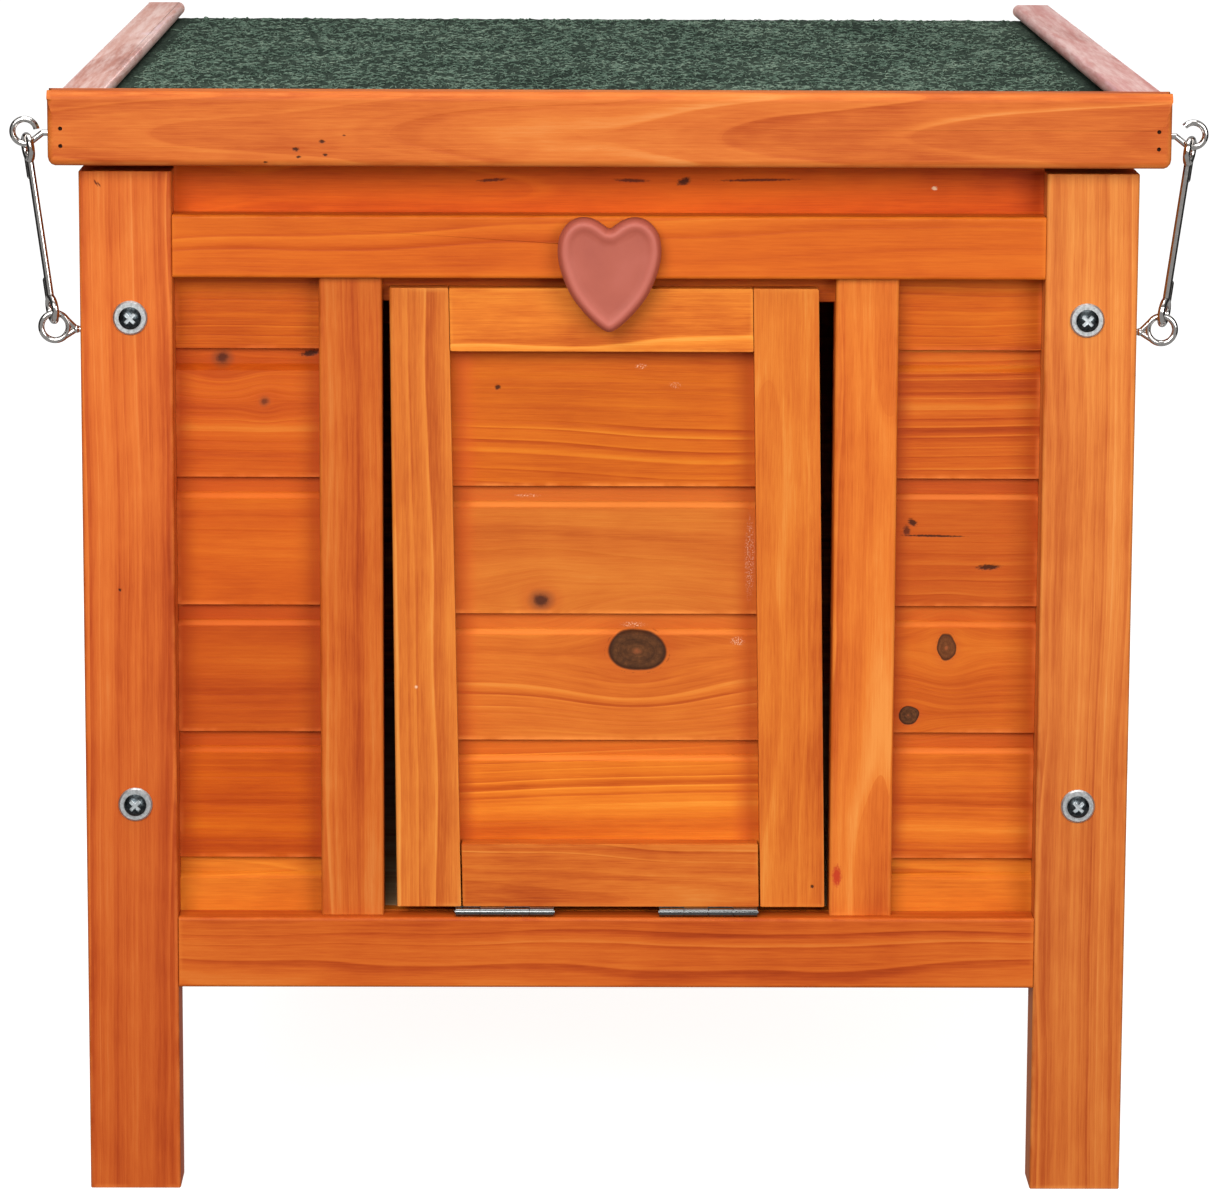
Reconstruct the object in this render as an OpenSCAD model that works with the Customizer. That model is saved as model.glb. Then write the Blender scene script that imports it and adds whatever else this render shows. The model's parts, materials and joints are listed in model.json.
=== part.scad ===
// A small flat-roofed rabbit hutch: a slatted wooden box on four legs, with a drop-down door,
// a turning heart that keeps the door shut, and a felted roof that opens backwards.
// Origin: on the ground, at the middle of the object's box. +X is the right side seen from the front,
// +Y points to the back, +Z is up. Millimetres.

/* [Body] */
// Width across the legs
body_w = 400; // [390:1:410]
// Depth from the front of the legs to the back of the legs
body_d = 498; // [470:1:520]
// Height of the legs
leg_h = 396; // [394:0.5:397]
// Width of a leg, seen from the front
leg_w = 35; // [32:1:37]
// Depth of a leg
leg_d = 22; // [22:0.5:25]
// Thickness of the rails between the legs
rail_t = 13.5; // [13:0.1:14]
// Underside of the lower rails
lower_rail_z = 80.2; // [78:0.1:83]
// Top of the lower rails, and of the floor
floor_z = 108; // [106:0.5:110]
// Underside of the upper front rail
upper_rail_z = 355.7; // [354:0.1:357]
// Height of the upper front rail
upper_rail_h = 23.9; // [22:0.1:26]
// Height of the upper back rail
back_rail_h = 26; // [24:1:30]
// Width and depth of the battens and rails inside the side walls
side_frame = 22; // [20:1:24]
// Thickness of the floor panel
floor_t = 6; // [4:0.5:8]

/* [Siding] */
// Thickness of the siding boards
siding_t = 8; // [7:0.5:8]
// Height from one board joint to the next
board_pitch = 49.6; // [48:0.1:50]
// Height of the lowest visible joint
first_joint_z = 128.8; // [126:0.1:131]
// Depth of the channel at the top of each board
channel_depth = 3; // [2:0.1:3.5]
// Height of the flat of the channel
channel_h = 6.2; // [5:0.1:8]
// Height of the slope from the channel to the face
channel_slope = 2.3; // [1.5:0.1:3]

/* [Door] */
// Half the width of the door opening in the siding
opening_half_w = 86; // [85:0.5:87]
// Top of the door opening in the siding
opening_top_z = 345.5; // [345:0.5:347]
// Width of the upright frame pieces beside the door
frame_stile_w = 24; // [20:0.5:26]
// How far the door and its frame pieces sit behind the front of the legs
door_setback = 4.3; // [4.1:0.1:4.5]
// Underside of the door
door_bottom_z = 111.4; // [111.4:0.1:112]
// Top of the door
door_top_z = 351.6; // [350:0.1:352]
// Height of the door's top rail
door_top_rail_h = 24.2; // [22:0.1:26]
// Height of the door's bottom rail
door_bottom_rail_h = 24.8; // [22:0.1:26]
// Width of the door across its bottom
door_w = 165.1; // [164:0.1:166]
// Shift of the door's bottom to the right of centre
door_shift = 1.65; // [1:0.05:1.7]
// Sideways lean of the right stile's top, towards the left
door_lean = 4.7; // [3:0.1:5]
// Width of a door stile
door_stile_w = 24.8; // [23:0.1:25]
// Width lost by the left stile between its bottom and its top
left_stile_taper = 2.4; // [0:0.1:3]

/* [Roof] */
// Width of the front board of the roof
fascia_w = 421; // [419:1:425]
// Height of the front board of the roof
fascia_h = 28.2; // [26:0.1:30]
// Thickness of the boards of the roof's frame
fascia_t = 13.5; // [13:0.1:15]
// How far the roof stands out in front of the legs
overhang = 12; // [10:0.5:14]
// Underside of the roof
roof_z = 399; // [399:0.5:400]
// Height of the side and back rails of the roof
roof_rail_h = 15; // [15:0.5:16]
// Thickness of the board under the felt
roof_board_t = 2.5; // [2:0.5:4]
// Thickness of the roofing felt
felt_t = 2; // [1.5:0.5:2]
// Width of the battens that hold the felt's sides
batten_w = 17; // [14:1:20]
// Thickness of the battens
batten_t = 6; // [5:0.5:7]
// Lift of the right batten's front end off the felt
batten_lift = 1.8; // [0:0.1:2]

/* [Hardware] */
// Height above the ground of the lower leg screws
screw_low_z = 152.5; // [145:0.5:160]
// Height above the ground of the upper leg screws
screw_high_z = 340.5; // [338:0.5:343]
// Distance of the leg screws from the hutch's middle
screw_x = 181; // [178:0.5:183]
// Length of the small door hinges
door_hinge_w = 38; // [34:1:42]
// Distance of the door hinges from the hutch's middle
door_hinge_x = 39.3; // [36:0.1:42]
// Length of the roof hinges
roof_hinge_w = 50; // [44:1:56]
// Distance of the roof hinges from the hutch's middle
roof_hinge_x = 110; // [90:1:120]
// Wire radius of the hooks and eyes
wire_r = 1.2; // [1.1:0.05:1.25]
// Wire radius of the links
link_r = 1.4; // [1.3:0.05:1.45]
// Width of the heart
heart_w = 40; // [38:0.5:42]
// Thickness of the heart
heart_t = 8; // [6:0.5:9]
// Height of the heart's pivot
heart_pivot_z = 366.5; // [365:0.5:368]

/* [Hidden] */
$fn = 48;

wood = "#D87A35";
dark_wood = "#C2632A";
pale_wood = "#D98C62";
steel = "#B8BDC2";
felt_green = "#2F4A3C";
rose = "#C66C5C";

// Depth: the object's box runs from the roof's front to the roof hinges' barrels.
roof_barrel_r = 2.5;
leaf_standoff = 0.1;
roof_leaf_t = 1.2;
roof_axis_out = roof_barrel_r + leaf_standoff;
box_d = overhang + body_d + roof_axis_out + roof_barrel_r;
roof_front_y = -box_d / 2;
front_y = roof_front_y + overhang;
back_y = front_y + body_d;
roof_axis_y = back_y + roof_axis_out;
roof_axis_z = (leg_h + roof_z) / 2;

// Widths
leg_in_x = body_w / 2 - leg_w;
side_out_x = body_w / 2 - 1.5;
side_in_x = side_out_x - siding_t;
frame_in_x = side_in_x - side_frame;
roof_half_w = fascia_w / 2 - 1.5;

// Heights and depths of the walls
wall_top_z = roof_z - 0.4;
wall_bottom_z = lower_rail_z + 3.8;
siding_front_y = front_y + rail_t;
siding_in_y = siding_front_y + siding_t;
board_bottoms = [wall_bottom_z, for (i = [0:5]) first_joint_z + i * board_pitch, wall_top_z];
top_row = len(board_bottoms) - 2;

// The tongue on a board's top edge and the groove in the next board's bottom edge
tongue_from = 4.4;
tongue_to = 6.6;
tongue_h = 3.5;
groove_play = 0.1;
// Open joint between the shoulders of two boards of one wall
board_gap = 0.1;

// Door
door_axis_r = 1.6;
door_leaf_t = 0.8;
door_leaf_len = 10;
door_axis_y = front_y + 2.5;
door_axis_z = floor_z + door_axis_r + leaf_standoff;
door_front_y = front_y + door_setback;
door_back_y = siding_front_y - 0.4;
door_left_x = door_shift - door_w / 2;
door_right_x = door_shift + door_w / 2;
door_boards_x = [-79, 78];
door_boards_z = [112.4, 126, 175.4, 224.9, 274.4, 343.5];

// Hinges
roof_leaf_len = 20;
lid_leaf_len = 14;
knuckles = 4;
knuckle_gap = 0.3;
door_pin_r = 0.8;
roof_pin_r = 1.2;
pin_play = 0.05;
leaf_clear = 0.5;

// Roof layers
roof_board_z = roof_z + roof_rail_h;
felt_z = roof_board_z + roof_board_t;
batten_z = felt_z + felt_t;
roof_inner_y = roof_front_y + fascia_t;
felt_back_y = back_y - 12;

// Fasteners
leg_screw_r = 2;
leg_screw_len = 40;
leg_head_r = 4.25;
leg_head_h = 2.6;
washer_r = 6.5;
washer_t = 1.2;
hinge_screw_len = 11;
nail_r = 0.8;
nail_len = 30;
nail_sunk = 1.2;

// Hooks, eyes and links: places are in the XZ plane, on the right side of the hutch
link_y = front_y + 12;
hook_ring_r = 4.6;
hook_x = 221;
hook_z = 409.8;
hook_bend_z = -0.6;
hook_tangent = 52;
eye_ring_r = 5.2;
eye_x = 210.5;
eye_z = 335.5;
eye_join_x = 8.3;
eye_join_z = -0.9;
eye_strand_r = wire_r - 0.12;
eye_neck_r = wire_r + 0.3;
screw_in = 11;
loop_r = 4.5;
link_twist = 20;
link_tail = 16.8;
link_gap = 0.25;
link_bottom = eye_ring_r - wire_r - link_gap - link_r;
link_top_z = hook_z - hook_ring_r + wire_r + link_gap + link_r;
link_top_x = hook_x - 0.6;
link_angle = atan((link_top_x - eye_x) / (link_top_z - eye_z));
link_length = norm([link_top_x - eye_x, link_top_z - eye_z]);

// Heart
heart_gap = 0.6;
heart_lobe_r = 10.8;
heart_lobe_z = 2.1;
heart_tip_drop = 30.4;
heart_bore_depth = 5.5;
latch_screw_r = 2;

// ---------- shared shapes ----------

// A block between two corners
module block(from, to) {
    translate(from) cube(to - from);
}

// The same shape on the other side of the hutch
module mirrored_x() {
    mirror([1, 0, 0]) children();
}

// Outline of one siding board: x is depth behind the face, y is height.
module board_outline(bottom, top, grooved, tongued) {
    channel_z = top - (tongued ? channel_h : 0);
    slope_z = channel_z - (tongued ? channel_slope : 0);
    shoulder_z = tongued ? top - board_gap : top;
    face = tongued ? [[0, slope_z], [channel_depth, channel_z], [channel_depth, shoulder_z],
        [tongue_from, shoulder_z], [tongue_from, top + tongue_h],
        [tongue_to, top + tongue_h], [tongue_to, shoulder_z]]
        : [[0, top]];
    groove = grooved ? [[tongue_to + groove_play, bottom],
        [tongue_to + groove_play, bottom + tongue_h + groove_play],
        [tongue_from - groove_play, bottom + tongue_h + groove_play],
        [tongue_from - groove_play, bottom]] : [];
    polygon(concat([[0, bottom]], face, [[siding_t, shoulder_z], [siding_t, bottom]], groove));
}

// One siding board along X from x0 to x1, with its face at y = 0 looking towards -Y.
module board(bottom, top, x0, x1, grooved = true, tongued = true) {
    translate([x0, 0, 0]) rotate([90, 0, 90])
        linear_extrude(height = x1 - x0) board_outline(bottom, top, grooved, tongued);
}

// Rows of siding boards, first to last, of the wall's own stack
module board_rows(first, last, x0, x1) {
    for (i = [first:last])
        board(board_bottoms[i], board_bottoms[i + 1], x0, x1, i > 0, i < top_row);
}

// The opening for the door in the front wall
module door_opening() {
    block([-opening_half_w, siding_front_y - 1, floor_z], [opening_half_w, siding_in_y + 1, opening_top_z]);
}

// Screw with a domed head and a cross recess: head above z = 0, shank below.
module pan_screw(length, shank_r, head_r, head_h) {
    slot_w = head_r * 0.3;
    slot_l = head_r * 1.15;
    difference() {
        union() {
            translate([0, 0, -length]) cylinder(r = shank_r, h = length + 0.01);
            intersection() {
                translate([0, 0, head_h - head_r * 1.4]) sphere(r = head_r * 1.4);
                cylinder(r = head_r, h = head_h);
            }
        }
        for (a = [45, 135])
            translate([0, 0, head_h]) rotate([0, 0, a]) cube([slot_l, slot_w, head_h], center = true);
    }
}

// Places of the leg screws: side, end, height
module at_leg_screws() {
    for (side = [-1, 1], end = [0, 1], z = [screw_low_z, screw_high_z])
        translate([side * screw_x, end == 0 ? front_y : back_y, z])
            rotate([end == 0 ? 90 : -90, 0, 0]) children();
}

// Leaf of a hinge. The axis is X, the plate hangs towards -Z on the -Y side.
module hinge_leaf(width, barrel_r, plate_t, length, turn, pin_r) {
    pitch = width / knuckles;
    plate_y = -barrel_r - leaf_standoff;
    difference() {
        union() {
            block([-width / 2, plate_y, -length], [width / 2, plate_y + plate_t, -barrel_r - leaf_clear]);
            for (i = [0:knuckles - 1])
                if (i % 2 == turn) {
                    x0 = -width / 2 + i * pitch + knuckle_gap / 2;
                    translate([x0, 0, 0]) rotate([0, 90, 0]) cylinder(r = barrel_r, h = pitch - knuckle_gap);
                    block([x0, plate_y, -barrel_r - leaf_clear - 0.2],
                        [x0 + pitch - knuckle_gap, plate_y + plate_t, 0]);
                }
        }
        translate([-width, 0, 0]) rotate([0, 90, 0]) cylinder(r = pin_r, h = 2 * width);
        at_leaf_screws(width, barrel_r, plate_t, length) leaf_screw(plate_t);
    }
}

// Places of the two screws of a leaf
module at_leaf_screws(width, barrel_r, plate_t, length) {
    for (side = [-1, 1])
        translate([side * width * 0.3, plate_t - barrel_r - leaf_standoff, -(length + barrel_r + leaf_clear) / 2])
            rotate([-90, 0, 0]) children();
}

// The screw of a leaf, without its cross recess, also the shape of its hole
module leaf_screw(plate_t) {
    shank_r = plate_t;
    head_r = plate_t * 1.9;
    translate([0, 0, -hinge_screw_len]) cylinder(r = shank_r, h = hinge_screw_len);
    translate([0, 0, shank_r - head_r]) cylinder(r1 = shank_r, r2 = head_r, h = head_r - shank_r);
}

// Places of the door hinges, with the leaf lying on the lower rail
module at_door_hinges() {
    for (x = [-door_hinge_x, door_hinge_x])
        translate([x, door_axis_y, door_axis_z]) rotate([90, 0, 0]) children();
}

// The same places, with the leaf against the underside of the door
module at_door_hinges_upper() {
    for (x = [-door_hinge_x, door_hinge_x])
        translate([x, door_axis_y, door_axis_z]) mirror([0, 0, 1]) rotate([90, 0, 0]) children();
}

// Places of the roof hinges, with the leaf hanging down
module at_roof_hinges() {
    for (x = [-roof_hinge_x, roof_hinge_x])
        translate([x, roof_axis_y, roof_axis_z]) children();
}

// The same places, with the leaf standing up
module at_roof_hinges_upper() {
    at_roof_hinges() mirror([0, 0, 1]) children();
}

module door_rail_screw_shapes() {
    at_door_hinges() at_leaf_screws(door_hinge_w, door_axis_r, door_leaf_t, door_leaf_len)
        leaf_screw(door_leaf_t);
}

module door_upper_screw_shapes() {
    at_door_hinges_upper() at_leaf_screws(door_hinge_w, door_axis_r, door_leaf_t, door_leaf_len)
        leaf_screw(door_leaf_t);
}

module roof_body_screw_shapes() {
    at_roof_hinges() at_leaf_screws(roof_hinge_w, roof_barrel_r, roof_leaf_t, roof_leaf_len)
        leaf_screw(roof_leaf_t);
}

module roof_lid_screw_shapes() {
    at_roof_hinges_upper() at_leaf_screws(roof_hinge_w, roof_barrel_r, roof_leaf_t, lid_leaf_len)
        leaf_screw(roof_leaf_t);
}

// Part of a ring of round wire in the XZ plane, from one angle through a sweep; 0 is +X, 90 is +Z.
module wire_arc(ring_r, thick_r, from, sweep) {
    rotate([90, 0, 0]) rotate([0, 0, from])
        rotate_extrude(angle = sweep) translate([ring_r, 0]) circle(r = thick_r);
}

// Straight wire in the XZ plane between two points
module wire_run(from, to, thick_r) {
    run = to - from;
    translate([from[0], 0, from[1]]) rotate([0, 90 - atan2(run[1], run[0]), 0])
        cylinder(r = thick_r, h = norm(run));
}

// The same with round ends
module wire_line(from, to, thick_r) {
    wire_run(from, to, thick_r);
    for (end = [from, to]) translate([end[0], 0, end[1]]) sphere(r = thick_r);
}

// ---------- legs ----------

module leg(side, end) {
    x0 = side < 0 ? -body_w / 2 : leg_in_x;
    y0 = end == 0 ? front_y : back_y - leg_d;
    color(wood) difference() {
        block([x0, y0, 0], [x0 + leg_w, y0 + leg_d, leg_h]);
        at_leg_screws() translate([0, 0, -leg_screw_len]) cylinder(r = leg_screw_r, h = leg_screw_len + 1);
        if (end == 0) eye_screw_bore(side);
    }
}

module leg_front_left() leg(-1, 0);
module leg_front_right() leg(1, 0);
module leg_back_left() leg(-1, 1);
module leg_back_right() leg(1, 1);

// ---------- front wall ----------

module front_upper_rail() {
    color(wood) difference() {
        block([-leg_in_x, front_y, upper_rail_z], [leg_in_x, siding_front_y, upper_rail_z + upper_rail_h]);
        latch_screw_bore();
    }
}

module front_lower_rail() {
    color(wood) difference() {
        block([-leg_in_x, front_y, lower_rail_z], [leg_in_x, siding_front_y, floor_z]);
        door_rail_screw_shapes();
    }
}

module front_stile_right() {
    color(wood) block([opening_half_w, door_front_y, floor_z],
        [opening_half_w + frame_stile_w, siding_front_y, upper_rail_z]);
}

module front_stile_left() mirrored_x() front_stile_right();

module front_boards_top() {
    color(dark_wood) difference() {
        translate([0, siding_front_y, 0]) board_rows(top_row - 1, top_row, -leg_in_x, leg_in_x);
        door_opening();
        latch_screw_bore();
    }
}

module front_boards_right() {
    color(wood) translate([0, siding_front_y, 0]) board_rows(1, top_row - 2, opening_half_w, leg_in_x);
}

module front_boards_left() mirrored_x() front_boards_right();

module front_board_bottom() {
    color(wood) difference() {
        translate([0, siding_front_y, 0]) board_rows(0, 0, -leg_in_x, leg_in_x);
        door_opening();
    }
}

// ---------- back wall ----------

module back_upper_rail() {
    color(wood) difference() {
        block([-leg_in_x, back_y - rail_t, leg_h - back_rail_h], [leg_in_x, back_y, leg_h]);
        roof_body_screw_shapes();
    }
}

module back_lower_rail() {
    color(wood) block([-leg_in_x, back_y - rail_t, lower_rail_z], [leg_in_x, back_y, floor_z]);
}

module back_boards() {
    color(wood) translate([0, back_y - rail_t, 0]) mirror([0, 1, 0])
        board_rows(0, top_row, -leg_in_x, leg_in_x);
}

// ---------- side walls and floor ----------

module side_boards_right() {
    color(wood) translate([side_out_x, 0, 0]) rotate([0, 0, 90])
        board_rows(0, top_row, front_y + leg_d, back_y - leg_d);
}

module side_boards_left() mirrored_x() side_boards_right();

module side_battens_right() {
    color(wood) difference() {
        for (y = [front_y + leg_d, back_y - leg_d - side_frame])
            block([frame_in_x, y, lower_rail_z], [side_in_x, y + side_frame, wall_top_z]);
        at_leg_screws() translate([0, 0, -leg_screw_len]) cylinder(r = leg_screw_r, h = leg_screw_len);
    }
}

module side_battens_left() mirrored_x() side_battens_right();

module side_rails_right() {
    color(wood) for (z = [floor_z - floor_t - side_frame, wall_top_z - side_frame])
        block([frame_in_x, front_y + leg_d + side_frame, z],
            [side_in_x, back_y - leg_d - side_frame, z + side_frame]);
}

module side_rails_left() mirrored_x() side_rails_right();

module floor_panel() {
    color(pale_wood) union() {
        block([-leg_in_x, siding_in_y, floor_z - floor_t],
            [leg_in_x, back_y - rail_t - siding_t, floor_z]);
        block([-frame_in_x, front_y + leg_d, floor_z - floor_t],
            [frame_in_x, back_y - leg_d, floor_z]);
        block([-side_in_x, front_y + leg_d + side_frame, floor_z - floor_t],
            [side_in_x, back_y - leg_d - side_frame, floor_z]);
    }
}

// ---------- fasteners of the body ----------

module leg_screws() {
    color(steel) at_leg_screws() translate([0, 0, washer_t])
        pan_screw(leg_screw_len + washer_t, leg_screw_r, leg_head_r, leg_head_h);
}

module leg_washers() {
    color(steel) at_leg_screws() difference() {
        union() {
            cylinder(r = washer_r, h = washer_t / 2);
            translate([0, 0, washer_t / 2])
                cylinder(r1 = washer_r, r2 = washer_r - washer_t / 2, h = washer_t / 2);
        }
        translate([0, 0, -1]) cylinder(r = leg_screw_r, h = washer_t + 2);
    }
}

// Eye screw in the side of a front leg: a ring in the XZ plane whose two strands meet at the shank
module eye_screw_right() {
    join = [-eye_join_x, eye_join_z];
    toward_join = atan2(join[1], join[0]);
    half_open = acos(eye_ring_r / norm(join));
    color(steel) translate([eye_x, link_y, eye_z]) {
        wire_arc(eye_ring_r, wire_r, 0, 360);
        for (a = [toward_join - half_open, toward_join + half_open])
            wire_run(eye_ring_r * [cos(a), sin(a)], join, eye_strand_r);
        translate([-eye_join_x, 0, eye_join_z]) sphere(r = eye_neck_r);
        translate([body_w / 2 - screw_in - eye_x, 0, eye_join_z]) rotate([0, 90, 0])
            cylinder(r = wire_r, h = screw_in + eye_x - body_w / 2 - eye_join_x);
    }
}

module eye_screw_left() mirrored_x() eye_screw_right();

module eye_screw_bore(side) {
    translate([side * (body_w / 2 - screw_in), link_y, eye_z + eye_join_z]) rotate([0, side * 90, 0])
        cylinder(r = wire_r, h = screw_in + 1);
}

// Pivot of the heart: driven from inside, through the siding and the rail
module latch_screw() {
    color(steel) translate([0, siding_in_y, heart_pivot_z]) rotate([-90, 0, 0])
        pan_screw(siding_in_y - front_y + heart_gap + heart_bore_depth - 0.3, latch_screw_r, 3.6, 2.2);
}

module latch_screw_bore() {
    translate([0, siding_in_y + 1, heart_pivot_z]) rotate([90, 0, 0])
        cylinder(r = latch_screw_r, h = siding_t + rail_t + 3);
}

// ---------- door hinges, the part that stays on the body ----------

module door_hinge_rail_leaves() {
    color(steel) at_door_hinges()
        hinge_leaf(door_hinge_w, door_axis_r, door_leaf_t, door_leaf_len, 0, door_pin_r);
}

module door_hinge_pins() {
    color(steel) for (x = [-door_hinge_x, door_hinge_x])
        translate([x - door_hinge_w / 2 - 0.3, door_axis_y, door_axis_z]) rotate([0, 90, 0])
            cylinder(r = door_pin_r, h = door_hinge_w + 0.6);
}

module door_hinge_rail_screws() {
    color(steel) door_rail_screw_shapes();
}

// ---------- roof hinges, the part that stays on the body ----------

module roof_hinge_body_leaves() {
    color(steel) at_roof_hinges()
        hinge_leaf(roof_hinge_w, roof_barrel_r, roof_leaf_t, roof_leaf_len, 0, roof_pin_r);
}

module roof_hinge_pins() {
    color(steel) at_roof_hinges() translate([-roof_hinge_w / 2 - 0.5, 0, 0]) rotate([0, 90, 0])
        cylinder(r = roof_pin_r, h = roof_hinge_w + 1);
}

module roof_hinge_body_screws() {
    color(steel) roof_body_screw_shapes();
}

// ---------- door ----------

// Inner edges of the two stiles at a height: the left one leans half as much and gets narrower.
function up_door(z) = (z - door_bottom_z) / (door_top_z - door_bottom_z);
function stile_in_left(z) = door_left_x + door_stile_w - up_door(z) * (door_lean / 2 + left_stile_taper);
function stile_in_right(z) = door_right_x - door_stile_w - up_door(z) * door_lean;

// A piece of the door's frame: an outline in the XZ plane with the thickness of the frame
module door_piece(outline) {
    color(wood) translate([0, door_back_y, 0]) rotate([90, 0, 0])
        linear_extrude(height = door_back_y - door_front_y) polygon(outline);
}

module door_stile_left() {
    door_piece([[door_left_x, door_bottom_z], [stile_in_left(door_bottom_z), door_bottom_z],
        [stile_in_left(door_top_z), door_top_z], [door_left_x - door_lean / 2, door_top_z]]);
}

module door_stile_right() {
    door_piece([[stile_in_right(door_bottom_z), door_bottom_z], [door_right_x, door_bottom_z],
        [door_right_x - door_lean, door_top_z], [stile_in_right(door_top_z), door_top_z]]);
}

// A rail between the stiles, from one height to another, with a gap at each end
module door_rail(from_z, to_z, end_gap) {
    door_piece([[stile_in_left(from_z) + end_gap, from_z], [stile_in_right(from_z) - end_gap, from_z],
        [stile_in_right(to_z) - end_gap, to_z], [stile_in_left(to_z) + end_gap, to_z]]);
}

module door_top_rail() door_rail(door_top_z - door_top_rail_h, door_top_z, 0.2);

module door_bottom_rail() {
    difference() {
        door_rail(door_bottom_z, door_bottom_z + door_bottom_rail_h, 0.6);
        door_upper_screw_shapes();
    }
}

module door_boards() {
    color(wood) translate([0, door_back_y, 0])
        for (i = [0:len(door_boards_z) - 2])
            board(door_boards_z[i], door_boards_z[i + 1], door_boards_x[0], door_boards_x[1],
                i > 0, i < len(door_boards_z) - 2);
}

module door_hinge_door_leaves() {
    color(steel) at_door_hinges_upper()
        hinge_leaf(door_hinge_w, door_axis_r, door_leaf_t, door_leaf_len, 1, door_pin_r + pin_play);
}

module door_hinge_door_screws() {
    color(steel) door_upper_screw_shapes();
}

// ---------- roof ----------

// Section of the roof's front board: its top edges are rounded, more in front than behind.
module fascia_outline() {
    front_r = 3.5;
    back_r = 2;
    union() {
        square([fascia_t, fascia_h - front_r]);
        translate([front_r, 0]) square([fascia_t - front_r - back_r, fascia_h]);
        translate([fascia_t - back_r - 1, 0]) square([back_r + 1, fascia_h - back_r]);
        translate([front_r, fascia_h - front_r]) circle(r = front_r);
        translate([fascia_t - back_r, fascia_h - back_r]) circle(r = back_r);
    }
}

module roof_fascia() {
    color(wood) difference() {
        translate([-fascia_w / 2, roof_front_y, roof_z]) rotate([90, 0, 90])
            linear_extrude(height = fascia_w) fascia_outline();
        nail_shapes(-1);
    }
}

// The four nails of the front board, starting at a depth behind its face
module nail_shapes(depth) {
    for (side = [-1, 1], z = [7.5, 14])
        translate([side * (roof_half_w - 3.5), roof_front_y + depth, roof_z + z]) rotate([-90, 0, 0])
            cylinder(r = nail_r, h = nail_len - depth);
}

module fascia_nails() {
    color(steel) nail_shapes(nail_sunk);
}

module roof_rail_right() {
    color(wood) difference() {
        block([roof_half_w - fascia_t, roof_inner_y, roof_z], [roof_half_w, back_y, roof_board_z]);
        nail_shapes(nail_sunk);
        translate([roof_half_w - screw_in, link_y, hook_z + hook_bend_z]) rotate([0, 90, 0])
            cylinder(r = wire_r, h = screw_in + 1);
    }
}

module roof_rail_left() mirrored_x() roof_rail_right();

module roof_rail_back() {
    color(wood) difference() {
        block([fascia_t - roof_half_w, back_y - fascia_t, roof_z],
            [roof_half_w - fascia_t, back_y, roof_board_z]);
        roof_lid_screw_shapes();
    }
}

module roof_board() {
    color(pale_wood) block([-roof_half_w, roof_inner_y, roof_board_z], [roof_half_w, back_y, felt_z]);
}

module roof_felt() {
    color(felt_green) block([-roof_half_w, roof_inner_y, felt_z], [roof_half_w, felt_back_y, batten_z]);
}

// Batten with a rounded inner edge, along Y from 0
module batten() {
    edge_r = batten_t / 2;
    rotate([-90, 0, 0]) mirror([0, 1, 0]) linear_extrude(height = back_y - roof_inner_y) union() {
        translate([edge_r, 0]) square([batten_w - edge_r, batten_t]);
        translate([edge_r, edge_r]) circle(r = edge_r);
    }
}

module roof_batten_left() {
    color(pale_wood) mirrored_x() translate([roof_half_w - batten_w, roof_inner_y, batten_z]) batten();
}

// The right batten has come loose in front: it is tipped about its back end.
module roof_batten_right() {
    tip = asin(batten_lift / (back_y - roof_inner_y));
    color(pale_wood) translate([roof_half_w - batten_w, back_y, batten_z]) rotate([-tip, 0, 0])
        translate([0, roof_inner_y - back_y, 0]) batten();
}

// Open hook in the XZ plane, screwed into the side of the roof: the wire slopes down from its shank,
// goes round under the link's loop and over the top, and ends at an angle above the shank.
module hook_screw(end_angle) {
    start = hook_tangent - 180;
    slope_from = hook_ring_r * [cos(start), sin(start)];
    bend = [slope_from[0] - (hook_bend_z - slope_from[1]) * tan(hook_tangent), hook_bend_z];
    color(steel) translate([hook_x, link_y, hook_z]) {
        wire_arc(hook_ring_r, wire_r, start, 360 - hook_tangent - end_angle);
        wire_line(slope_from, bend, wire_r);
        translate([roof_half_w - screw_in - hook_x, 0, hook_bend_z]) rotate([0, 90, 0])
            cylinder(r = wire_r, h = screw_in + hook_x - roof_half_w + bend[0]);
    }
}

module hook_screw_right() hook_screw(43);
module hook_screw_left() mirrored_x() hook_screw(11);

module roof_hinge_lid_leaves() {
    color(steel) at_roof_hinges_upper()
        hinge_leaf(roof_hinge_w, roof_barrel_r, roof_leaf_t, lid_leaf_len, 1, roof_pin_r + pin_play);
}

module roof_hinge_lid_screws() {
    color(steel) roof_lid_screw_shapes();
}

// ---------- heart latch ----------

// Outline of the heart about its pivot: two lobes, and flanks that are arcs meeting at the tip
module heart_outline() {
    flank_r = 34;
    half_w = heart_w / 2;
    lobe_x = half_w - heart_lobe_r;
    tip_r = 3.2;
    union() {
        for (side = [-1, 1]) translate([side * lobe_x, heart_lobe_z]) circle(r = heart_lobe_r);
        intersection() {
            translate([half_w - flank_r, 0]) circle(r = flank_r);
            translate([flank_r - half_w, 0]) circle(r = flank_r);
            translate([-half_w, tip_r - heart_tip_drop]) square([2 * half_w, heart_tip_drop + heart_lobe_z - tip_r + 1]);
        }
        translate([0, tip_r - heart_tip_drop]) circle(r = tip_r);
    }
}

module heart_latch() {
    heart_back_y = front_y - heart_gap;
    color(rose) difference() {
        translate([0, heart_back_y, heart_pivot_z]) rotate([90, 0, 0])
            linear_extrude(height = heart_t) heart_outline();
        translate([0, heart_back_y + 1, heart_pivot_z]) rotate([90, 0, 0])
            cylinder(r = latch_screw_r + pin_play, h = heart_bore_depth + 1);
    }
}

// ---------- links ----------

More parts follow.
